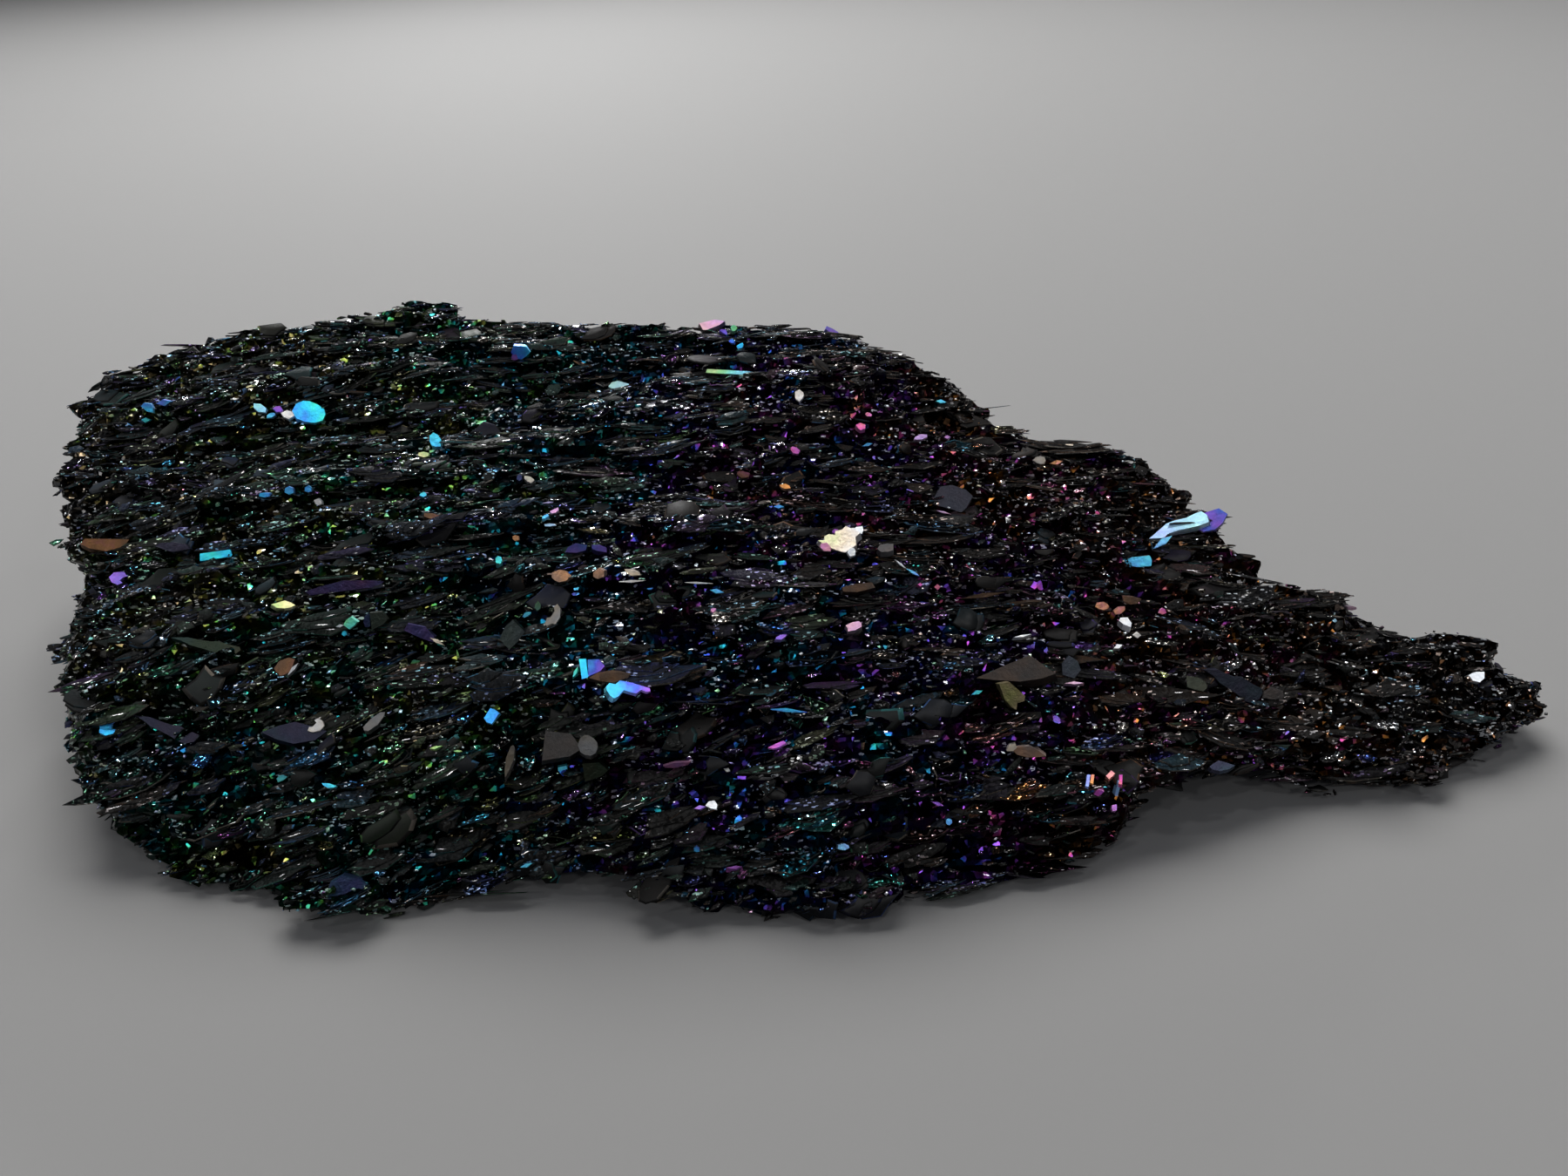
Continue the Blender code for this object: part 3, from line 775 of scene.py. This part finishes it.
def crystal_skin(name):
    """Single crystals: half matt, with film colours that run into each other. On the bright ones
    the pale base colour is a painted glint.
    """
    finish = Finish(name)
    film = finish.attribute("film", "Fac") + (finish.noise(700.0, 3.0) - 0.5) * 0.35
    shine = finish.attribute("shine", "Fac") * (0.7 + finish.noise(2400.0, 3.0, 0.7) * 0.8)
    colour = film_colour(finish, film, finish.attribute("pale", "Fac"))
    finish.skin(
        Base_Color=finish.scaled(colour, shine),
        Roughness=0.40,
        Metallic=0.22,
        Specular_IOR_Level=0.08,
        Normal=finish.bump(finish.noise(2600.0, 4.0, 0.7), 0.5, 0.0001),
    )
    return finish.material


def mass_skin(name):
    """The dark ground between the plates, full of small facets, its film changing along X, with
    pale flecks of painted glint.
    """
    finish = Finish(name)
    along = finish.add("ShaderNodeSeparateXYZ", None, {0: finish.object_place()}, "X")
    film = 0.41 - along * 11.0 + (finish.noise(90.0) - 0.5) * 0.9
    film = film + (finish.noise(700.0) - 0.5) * 0.8
    painted_glint = finish.patchy_painted_glints(MASS_PAINTED_GLINT, 200.0)
    finish.skin(
        # Painted glints: on a fleck the dark metal becomes a bright, pale, matt base colour.
        Base_Color=finish.scaled(film_colour(finish, film, painted_glint * 0.72), 0.010 + painted_glint * 0.55),
        Roughness=0.08 + finish.noise(1500.0) * 0.2,
        Metallic=1 - painted_glint * 0.9,
        Normal=finish.bump(finish.facets(MASS_FACET, 1.0), 0.9, 1.0),
    )
    return finish.material


def ready(mesh, name, material):
    """An object for the finished mesh, riding on the chunk's body."""
    mesh.materials.clear()
    mesh.materials.append(material)
    piece = bpy.data.objects.new(name, mesh)
    bpy.context.scene.collection.objects.link(piece)
    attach(piece, BODY)
    return piece


def merged_copy(node):
    """The CAD node's shape as one connected mesh."""
    shape = bmesh.new()
    shape.from_mesh(bpy.data.objects[node].data)
    bmesh.ops.remove_doubles(shape, verts=shape.verts, dist=1e-7)
    mesh = bpy.data.meshes.new("merged_copy")
    shape.to_mesh(mesh)
    shape.free()
    return mesh


def remeshed(mesh, voxel):
    """The same shape in even small faces."""
    helper = bpy.data.objects.new("remesh_helper", mesh)
    bpy.context.scene.collection.objects.link(helper)
    even = helper.modifiers.new("even_faces", "REMESH")
    even.mode = "VOXEL"
    even.voxel_size = voxel
    depsgraph = bpy.context.evaluated_depsgraph_get()
    result = bpy.data.meshes.new_from_object(helper.evaluated_get(depsgraph))
    bpy.data.objects.remove(helper)
    return result


def points_of(mesh):
    """The mesh's points in millimetres."""
    flat = np.empty(len(mesh.vertices) * 3)
    mesh.vertices.foreach_get("co", flat)
    return flat.reshape(-1, 3) / MM


def unit(vectors):
    return vectors / np.maximum(np.linalg.norm(vectors, axis=-1, keepdims=True), 1e-9)


def smooth_facing(mesh, rounds):
    """Which way the surface looks at each point, averaged over a wider patch with each round."""
    facing = np.empty(len(mesh.vertices) * 3)
    mesh.vertices.foreach_get("normal", facing)
    facing = facing.reshape(-1, 3)
    ends = np.empty(len(mesh.edges) * 2, np.int64)
    mesh.edges.foreach_get("vertices", ends)
    first, second = ends.reshape(-1, 2).T
    for _ in range(rounds):
        total = facing.copy()
        np.add.at(total, first, facing[second])
        np.add.at(total, second, facing[first])
        facing = unit(total)
    return facing


def terraces_at(points):
    """A step height for each point, -0.5 to 0.5: the same all over one patch along the grain."""
    dice = np.random.default_rng(TERRACE_SEED)
    low, high = points.min(0) / TERRACE_SIZE - 1, points.max(0) / TERRACE_SIZE + 1
    seeds = dice.uniform(low, high, (int(np.prod(high - low)), 3))
    heights = dice.uniform(-0.5, 0.5, len(seeds))
    tree = KDTree(len(seeds))
    for index, seed in enumerate(seeds):
        tree.insert(seed, index)
    tree.balance()
    return np.array([heights[tree.find(point)[1]] for point in points / TERRACE_SIZE])


def make_mass():
    """The mass between the plates: the CAD shape broken into terraces. Gives its search tree."""
    mesh = remeshed(merged_copy(NODE), MASS_VOXEL)
    points = points_of(mesh)
    heights = terraces_at(points) * TERRACE_HEIGHT - MASS_SINK
    points += smooth_facing(mesh, MASS_SMOOTHING) * heights[:, None]
    points[:, 2] = np.maximum(points[:, 2], 0.0)
    mesh.vertices.foreach_set("co", (points * MM).ravel())
    mesh.update()
    piece = ready(mesh, "crystal_mass", mass_skin("mass_facets"))
    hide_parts(NODE)
    return BVHTree.FromPolygons(points.tolist(), [tuple(face.vertices) for face in mesh.polygons])


def triangles_of(mesh):
    mesh.calc_loop_triangles()
    flat = np.empty(len(mesh.loop_triangles) * 3, np.int64)
    mesh.loop_triangles.foreach_get("vertices", flat)
    return flat.reshape(-1, 3)


Surface = namedtuple("Surface", "points facing triangles areas")


def cad_surface():
    """The CAD node's surface, looked at broadly: each point's facing is a patch's average."""
    mesh = merged_copy(NODE)
    points = points_of(mesh)
    triangles = triangles_of(mesh)
    a, b, c = (points[triangles[:, corner]] for corner in range(3))
    areas = np.linalg.norm(np.cross(b - a, c - a), axis=1)
    return Surface(points, smooth_facing(mesh, SURFACE_SMOOTHING), triangles, areas)


def spots_on(surface, count, dice):
    """Random places on the surface, even by area, and the way that each looks."""
    chances = surface.areas / surface.areas.sum()
    chosen = surface.triangles[dice.choice(len(chances), count, p=chances)]
    share = dice.dirichlet((1, 1, 1), count)[:, :, None]
    place = (surface.points[chosen] * share).sum(1)
    return place, unit((surface.facing[chosen] * share).sum(1))


def between(dice, limits, count):
    """Random numbers between two limits, more of them near the lower one."""
    low, high = limits
    return low + (high - low) * dice.beta(*SIZE_BUNCHING, count)


def log_between(limits, share):
    """The number that lies at this share of the way between two limits, counted in ratios."""
    low, high = limits
    return low * (high / low) ** share


def gently(value, start, end):
    """0 up to start, 1 from end, and a smooth rise between them."""
    share = np.clip((value - start) / (end - start), 0, 1)
    return share * share * (3 - 2 * share)


def directions_for(place, facing, growth, dice):
    """Length, width and normal directions of a plate at each spot."""
    count = len(place)
    fan = np.radians(FAN_MIDDLE + FAN_SLOPE * place[:, 0] + dice.normal(0, growth.fan, count))
    on_front = gently(-facing[:, 1], *STEEP) * gently(FRONT_END - place[:, 0], 0, FRONT_END)
    pitch = np.radians(on_front * FRONT_RISE + dice.normal(0, growth.pitch, count))
    along = np.stack([np.cos(fan) * np.cos(pitch), np.sin(fan) * np.cos(pitch), np.sin(pitch)], 1)
    upright = np.zeros((count, 3))
    upright[:, 2] = np.where(facing[:, 2] < FACING_DOWN, -1, 1)
    normal = facing * growth.outward + upright * (1 - growth.outward)
    normal = unit(normal - along * (normal * along).sum(1, keepdims=True))
    across = np.cross(normal, along)
    roll = np.radians(growth.roll_back + dice.normal(0, growth.roll, count))[:, None]
    turned = normal * np.cos(roll) + across * np.sin(roll)
    return along, np.cross(turned, along), turned


def film_at(place, dice):
    """A film for each spot, drawn from the zones that reach it."""
    weights = np.empty((len(place), len(ZONES)))
    for index, zone in enumerate(ZONES):
        distance2 = (place[:, 0] - zone.x) ** 2 + (place[:, 1] - zone.y) ** 2
        weights[:, index] = zone.weight * np.exp(-distance2 / zone.reach**2)
    weights = (weights + 1e-6) / (weights + 1e-6).sum(1, keepdims=True)
    pick = (weights.cumsum(1) < dice.random((len(place), 1))).sum(1).clip(0, len(ZONES) - 1)
    film = np.empty(len(place))
    for index, zone in enumerate(ZONES):
        here = pick == index
        shares, films, spreads = (np.array(column) for column in zip(*zone.films))
        kind = dice.choice(len(shares), here.sum(), p=shares / shares.sum())
        film[here] = films[kind] + dice.normal(0, 1, here.sum()) * spreads[kind]
    return film.clip(0, 1)


Plates = namedtuple(
    "Plates", "centre along across normal length width thickness film shine dull pale"
)


def settled(place, facing, tree):
    """Each spot moved straight in or out onto the mass, where that is near."""
    for index, (spot, outward) in enumerate(zip(place, facing)):
        start = Vector(spot) + Vector(outward)
        found, _, _, _ = tree.ray_cast(start, -Vector(outward), SETTLE_REACH)
        if found is not None:
            place[index] = found
    return place


def grow(surface, tree, growth, dice):
    """All plates of one kind, as arrays with a row for each plate."""
    place, facing = spots_on(surface, growth.spots, dice)
    if growth in (GRAINS, GLINT_PAINTED_GRAINS):
        place = settled(place, facing, tree)
    along, across, normal = directions_for(place, facing, growth, dice)
    small = np.clip((TIP_END - place[:, 0]) / (TIP_END - TIP_START), TIP_SMALLEST, 1.0)
    length = between(dice, growth.length, growth.spots) * small
    width = length * dice.uniform(*growth.width_share, growth.spots)
    thickness = between(dice, growth.thickness, growth.spots)
    film = film_at(place, dice)
    shine = log_between(growth.shine, dice.random(growth.spots) ** BRIGHT_RARITY)
    dull = dice.uniform(*growth.dull, growth.spots)
    matt = dice.random(growth.spots) < growth.matt_share
    shine = np.where(matt, log_between(growth.matt_shine, dice.random(growth.spots)), shine)
    dull = np.where(matt, dice.uniform(*MATT_DULL, growth.spots), dull)
    film = np.where(matt & (film > SILVER_FILM), BROWN_FILM, film)
    pale = dice.uniform(*growth.pale, growth.spots)
    layers = dice.integers(*growth.layers, growth.spots)
    outwards = (facing * along).sum(1)
    rooted = outwards.clip(-MOST_ROOTED, MOST_ROOTED) * length
    sunk = (growth.lift * dice.normal(0, 1, growth.spots) - SINK).clip(None, MOST_LIFT)
    place = place - along * rooted[:, None] + facing * sunk[:, None]
    lowest = Plates(
        place, along, across, normal, length, width, thickness, film, shine, dull, pale
    )
    return stacked(lowest, layers, growth.step, dice)


def stacked(lowest, layers, step, dice):
    """The plates of all layers, from the lowest ones and the number of layers at each spot."""
    stacks = []
    for layer in range(int(layers.max())):
        here = layers > layer
        plates = pick_plates(lowest, here)
        count = len(plates.film)
        up = (layer - (layers[here] - 1) / 2)[:, None]
        shift = dice.normal(0, STACK_SHIFT, (count, 1)) * plates.length[:, None]
        back = up * step * plates.width[:, None] * dice.uniform(*STACK_STEP, (count, 1))
        centre = (
            plates.centre
            + plates.normal * up * plates.thickness[:, None] * STACK_PITCH
            + plates.across * back
            + plates.along * shift
        )
        shrink = STACK_SHRINK**layer
        length = plates.length * shrink * dice.uniform(*STACK_LENGTH, count)
        film = (plates.film + dice.normal(0, STACK_FILM, count)).clip(0, 1)
        stacks.append(
            plates._replace(centre=centre, length=length, width=plates.width * shrink, film=film)
        )
    return Plates(*(np.concatenate(column) for column in zip(*stacks)))


def pick_plates(plates, here):
    return Plates(*(column[here] for column in plates))


Template = namedtuple("Template", "points faces map side")


def ordered_faces(shape):
    """Each face as point numbers, and whether it is a side, in an order that is the same each run.

    The operators leave the faces in one that varies.
    """
    faces = {}
    for face in shape.faces:
        ring = [vertex.index for vertex in face.verts]
        first = ring.index(min(ring))
        faces[tuple(ring[first:] + ring[:first])] = abs(face.normal.z) < 0.9
    rings = sorted(faces)
    return rings, np.array([faces[ring] for ring in rings])


def plate_template(corners, lean, skew, dice):
    """A ragged plate one unit long, wide and thick round the origin, with leaning sides."""
    shape = bmesh.new()
    bmesh.ops.create_circle(shape, segments=corners, radius=0.5, cap_ends=True)
    for vertex in shape.verts:
        vertex.co *= dice.uniform(*RAGGED)
        vertex.co.x += vertex.co.y * skew
        vertex.co.z = -0.5
    grown = bmesh.ops.extrude_face_region(shape, geom=shape.faces[:])
    top = [item for item in grown["geom"] if isinstance(item, bmesh.types.BMVert)]
    bmesh.ops.translate(shape, verts=top, vec=Vector((0, 0, 1)))
    bmesh.ops.scale(shape, verts=top, vec=Vector((1 - lean, 1 - lean, 1)))
    bmesh.ops.recalc_face_normals(shape, faces=shape.faces)
    shape.verts.index_update()
    points = np.array([vertex.co for vertex in shape.verts])
    faces, side = ordered_faces(shape)
    angle = np.arctan2(points[:, 1], points[:, 0])
    radius = np.where(points[:, 2] > 0, MAP_TOP, MAP_FOOT)
    cell = 0.5 + np.stack([np.cos(angle), np.sin(angle)], 1) * radius[:, None]
    shape.free()
    return Template(points, faces, cell, side)


def plate_templates():
    """A few different plates for each number of corners."""
    dice = np.random.default_rng(TEMPLATE_SEED)
    return {
        corners: [plate_template(corners, lean, skew, dice) for lean, skew in TEMPLATE_FORMS]
        for corners in TEMPLATE_CORNERS
    }


def inside_box(points):
    """How far each plate has to move to lie inside the CAD shape's box and above the ground."""
    low, high = np.array(cad_box[0]) / MM, np.array(cad_box[1]) / MM
    low[2] = 0.0
    return np.maximum(low - points.min(1), 0) + np.minimum(high - points.max(1), 0)


def placed(template, plates):
    """The points of one template at each of these plates, a row of points for each plate."""
    x, y, z = (template.points[None, :, axis, None] for axis in range(3))
    return (
        plates.centre[:, None]
        + plates.along[:, None] * x * plates.length[:, None, None]
        + plates.across[:, None] * y * plates.width[:, None, None]
        + plates.normal[:, None] * z * plates.thickness[:, None, None]
    )


def joined(plates, templates, edge, name, dice):
    """One mesh of all these plates, each with its own small cell on the bake map."""
    kinds = dice.integers(0, len(templates), len(plates.film))
    grid = math.ceil(math.sqrt(len(kinds)))
    points, corners, starts, cells = [], [], [], []
    values = {"film": [], "shine": [], "dull": [], "pale": []}
    first_point = first_corner = first_plate = 0
    for kind, template in enumerate(templates):
        chosen = pick_plates(plates, kinds == kind)
        count = len(chosen.film)
        rows = placed(template, chosen)
        rows += inside_box(rows)[:, None]
        points.append(rows.reshape(-1, 3))
        flat = np.array([index for face in template.faces for index in face])
        sizes = np.array([len(face) for face in template.faces])
        step = np.arange(count)[:, None]
        corners.append((first_point + step * len(template.points) + flat).ravel())
        begins = np.concatenate([[0], sizes.cumsum()[:-1]])
        starts.append((first_corner + step * len(flat) + begins).ravel())
        number = first_plate + step
        corner_of_cell = np.stack([number % grid, number // grid], -1)
        cells.append(((corner_of_cell + template.map[flat]) / grid).reshape(-1, 2))
        edge_shine = edge[0] * dice.random((count, len(sizes))) ** edge[1]
        silver = dice.random((count, 1)) < SILVER_EDGES
        edge_film = np.where(silver, EDGE_FILM, chosen.film[:, None])
        edges = {"film": edge_film, "shine": edge_shine, "dull": EDGE_DULL, "pale": EDGE_PALE}
        for key, edge_value in edges.items():
            face_value = getattr(chosen, key)[:, None]
            values[key].append(np.where(template.side, edge_value, face_value).ravel())
        first_point += count * len(template.points)
        first_corner += count * len(flat)
        first_plate += count
    parts = [np.concatenate(part) for part in (points, corners, starts, cells)]
    return mesh_from(name, *parts, values)


def mesh_from(name, points, corners, starts, cells, values):
    """A mesh of these points, face corners, bake map places and values for each face."""
    mesh = bpy.data.meshes.new(name)
    mesh.vertices.add(len(points))
    mesh.vertices.foreach_set("co", (points * MM).ravel())
    mesh.loops.add(len(corners))
    mesh.loops.foreach_set("vertex_index", corners.astype(np.int32))
    mesh.polygons.add(len(starts))
    mesh.polygons.foreach_set("loop_start", starts.astype(np.int32))
    mesh.update(calc_edges=True)
    mesh.validate()
    bake_map = mesh.uv_layers.new(name="OFBake")
    bake_map.uv.foreach_set("vector", cells.ravel())
    for key, parts in values.items():
        attribute = mesh.attributes.new(key, "FLOAT", "FACE")
        attribute.data.foreach_set("value", np.concatenate(parts))
    return mesh


def make_plates(surface, tree, templates):
    """Every plate of the chunk, in pieces that each cover one stretch of it."""
    dice = np.random.default_rng(PLATE_SEED)
    film = film_skin("film_plates")
    for growth, name, borders in (
        (STACKS, "plate_stacks", (-99, -14, 99)),
        (SMALL_PLATES, "small_plates", (-99, -6, 99)),
        (GRAINS, "crystal_grains", (-99, 0, 99)),
        (GLINT_PAINTED_GRAINS, "bright_grains", (-99, 99)),
        (DULL_PLATES, "dull_plates", (-99, 99)),
    ):
        plates = grow(surface, tree, growth, dice)
        forms = [form for corners in growth.corners for form in templates[corners]]
        skin = dull_skin("dull_faces") if growth is DULL_PLATES else film
        for part, (start, end) in enumerate(zip(borders, borders[1:])):
            here = (plates.centre[:, 0] >= start) & (plates.centre[:, 0] < end)
            piece_name = f"{name}_{part + 1}"
            mesh = joined(pick_plates(plates, here), forms, growth.edge, piece_name, dice)
            ready(mesh, piece_name, skin)


def camera_turn():
    """How the camera is turned: down by its tilt, after its lean."""
    tilt = Matrix.Rotation(math.pi / 2 - CAMERA_DOWN, 4, "X")
    return tilt @ Matrix.Rotation(CAMERA_LEAN, 4, "Z")


def spot_in_picture(tree, u, v):
    """The place on the surface behind that pixel, its facing, the way to the camera, and how many
    millimetres a pixel covers there. A pixel just beside the chunk gives the nearest place."""
    focal = CAMERA_LENS / SENSOR_WIDTH * PICTURE_WIDTH
    in_view = Vector(((u - PICTURE_WIDTH / 2) / focal, (PICTURE_HEIGHT / 2 - v) / focal, -1))
    ray = camera_turn().to_3x3() @ in_view.normalized()
    place, facing, _, _ = tree.ray_cast(CAMERA_PLACE, ray)
    if place is None:
        steps = [CAMERA_PLACE + ray * reach for reach in range(*SPOT_REACH)]
        found = [(tree.find_nearest(step), step) for step in steps]
        (place, facing, _, _), step = min(found, key=lambda pair: pair[0][3])
    return place, facing, -ray, (place - CAMERA_PLACE).dot(ray) / focal


def crystal_prism(shape, outline, corners, depth, dice):
    """The points of a prism one unit long and wide, with a drawn outline or a ragged one."""
    made = bmesh.ops.create_circle(shape, segments=corners, radius=0.5, cap_ends=True)
    for index, vertex in enumerate(made["verts"]):
        if outline:
            vertex.co = (*outline[index], 0)
        else:
            vertex.co *= dice.uniform(*CRYSTAL_RAGGED)
    face = made["verts"][0].link_faces[0]
    grown = bmesh.ops.extrude_face_region(shape, geom=[face])
    top = [item for item in grown["geom"] if isinstance(item, bmesh.types.BMVert)]
    bmesh.ops.scale(shape, verts=top, vec=Vector(CRYSTAL_TOP))
    shift = [dice.uniform(-most, most) for most in TOP_SHIFT]
    bmesh.ops.translate(shape, verts=top, vec=Vector((*shift, depth)))
    return connected(made["verts"][0])


def crystal_frame(place, facing, to_camera):
    """Where a crystal stands: it looks between the surface's own way and the camera."""
    normal = (to_camera * TO_CAMERA + facing * (1 - TO_CAMERA)).normalized()
    right = camera_turn().to_3x3() @ Vector((1, 0, 0))
    along = (right - normal * right.dot(normal)).normalized()
    turned = Matrix((along, normal.cross(along), normal)).transposed().to_4x4()
    return Matrix.Translation(place) @ turned


def add_crystal(shape, layers, tree, crystal, dice):
    """One crystal, its root in the mass, with its film, paleness and brightness."""
    place, facing, to_camera, pixel = spot_in_picture(tree, crystal.u, crystal.v)
    long, wide = crystal.long * pixel, crystal.wide * pixel
    least, most = CRYSTAL_DEPTH
    depth = min(least + DEPTH_FOR_WIDTH * wide, most)
    outline = OUTLINES.get(crystal.form)
    corners = len(outline) if outline else CORNERS[crystal.form]
    verts = crystal_prism(shape, outline, corners, depth, dice)
    for vertex in verts:
        vertex[layers["film"]] = min(max(crystal.film + crystal.drift * vertex.co.x, 0), 1)
    faces = {face for vertex in verts for face in vertex.link_faces}
    bmesh.ops.recalc_face_normals(shape, faces=list(faces))
    bmesh.ops.scale(shape, verts=verts, vec=Vector((long, wide, 1)))
    turn = Matrix.Rotation(math.radians(crystal.turn), 4, "Z")
    lift = Matrix.Translation(Vector((0, 0, CRYSTAL_LIFT - depth)))
    matrix = crystal_frame(place, facing, to_camera) @ turn @ lift
    bmesh.ops.transform(shape, matrix=matrix, verts=verts)
    for face in sorted(faces, key=lambda face: tuple(face.calc_center_median())):
        rim = len(face.verts) == 4 and corners != 4
        face[layers["pale"]] = crystal.pale + (RIM_PALE if rim else 0)
        face[layers["shine"]] = crystal.shine * (dice.uniform(*RIM_SHINE) if rim else 1)


def connected(start):
    """All the points that hang together with the first one."""
    found, edge = {start}, [start]
    while edge:
        vertex = edge.pop()
        for link in vertex.link_edges:
            other = link.other_vert(vertex)
            if other not in found:
                found.add(other)
                edge.append(other)
    return list(found)


def make_crystals():
    """The single crystals that stand out, each where the picture shows it."""
    dice = np.random.default_rng(CRYSTAL_SEED)
    surface = bmesh.new()
    surface.from_mesh(merged_copy(NODE))
    bmesh.ops.scale(surface, vec=Vector((1 / MM, 1 / MM, 1 / MM)), verts=surface.verts)
    tree = BVHTree.FromBMesh(surface)
    surface.free()
    shape = bmesh.new()
    layers = {key: shape.faces.layers.float.new(key) for key in ("pale", "shine")}
    layers["film"] = shape.verts.layers.float.new("film")
    for crystal in CRYSTALS:
        add_crystal(shape, layers, tree, crystal, dice)
    bmesh.ops.scale(shape, vec=Vector((MM, MM, MM)), verts=shape.verts)
    mesh = bpy.data.meshes.new("single_crystals")
    shape.to_mesh(mesh)
    shape.free()
    ready(mesh, "single_crystals", crystal_skin("crystals_with_painted_glints"))


def make_camera():
    camera = bpy.data.objects.new("camera", bpy.data.cameras.new("camera"))
    bpy.context.scene.collection.objects.link(camera)
    camera.data.lens = CAMERA_LENS
    camera.data.sensor_width = SENSOR_WIDTH
    camera.data.clip_start = CAMERA_NEAREST
    camera.matrix_world = Matrix.Translation(CAMERA_PLACE * MM) @ camera_turn()
    bpy.context.scene.camera = camera


def make_floor():
    shape = bmesh.new()
    bmesh.ops.create_grid(shape, x_segments=1, y_segments=1, size=FLOOR_REACH)
    mesh = bpy.data.meshes.new("floor")
    shape.to_mesh(mesh)
    shape.free()
    finish = Finish("pale_floor")
    finish.skin(Base_Color=FLOOR_COLOUR, Roughness=FLOOR_ROUGHNESS)
    mesh.materials.append(finish.material)
    floor = bpy.data.objects.new("floor", mesh)
    bpy.context.scene.collection.objects.link(floor)


def add_light(name, place, size, power, on_floor=True):
    """A square light turned to the chunk, which lights the floor too or only makes glints."""
    light = bpy.data.lights.new(name, "AREA")
    light.shape = "SQUARE"
    light.size = size
    light.energy = power
    lamp = bpy.data.objects.new(name, light)
    bpy.context.scene.collection.objects.link(lamp)
    place = Vector(place)
    turn = place.to_track_quat("Z", "Y").to_matrix().to_4x4()
    lamp.matrix_world = Matrix.Translation(place) @ turn
    lamp.visible_diffuse = on_floor
    lamp.visible_glossy = not on_floor


def make_light():
    world = bpy.data.worlds.new("dim_room")
    world.use_nodes = True
    background = world.node_tree.nodes["Background"]
    background.inputs["Color"].default_value = ROOM_COLOUR
    background.inputs["Strength"].default_value = ROOM_STRENGTH
    bpy.context.scene.world = world
    add_light("sky_light", SKY_LIGHT, SKY_SIZE, SKY_POWER)
    for number, place in enumerate(GLINT_LIGHTS):
        add_light(f"glint_light_{number + 1}", place, GLINT_SIZE, GLINT_POWER, on_floor=False)
    bpy.context.scene.view_settings.view_transform = "Standard"


def main():
    make_camera()
    tree = make_mass()
    make_plates(cad_surface(), tree, plate_templates())
    make_crystals()
    make_floor()
    make_light()


main()
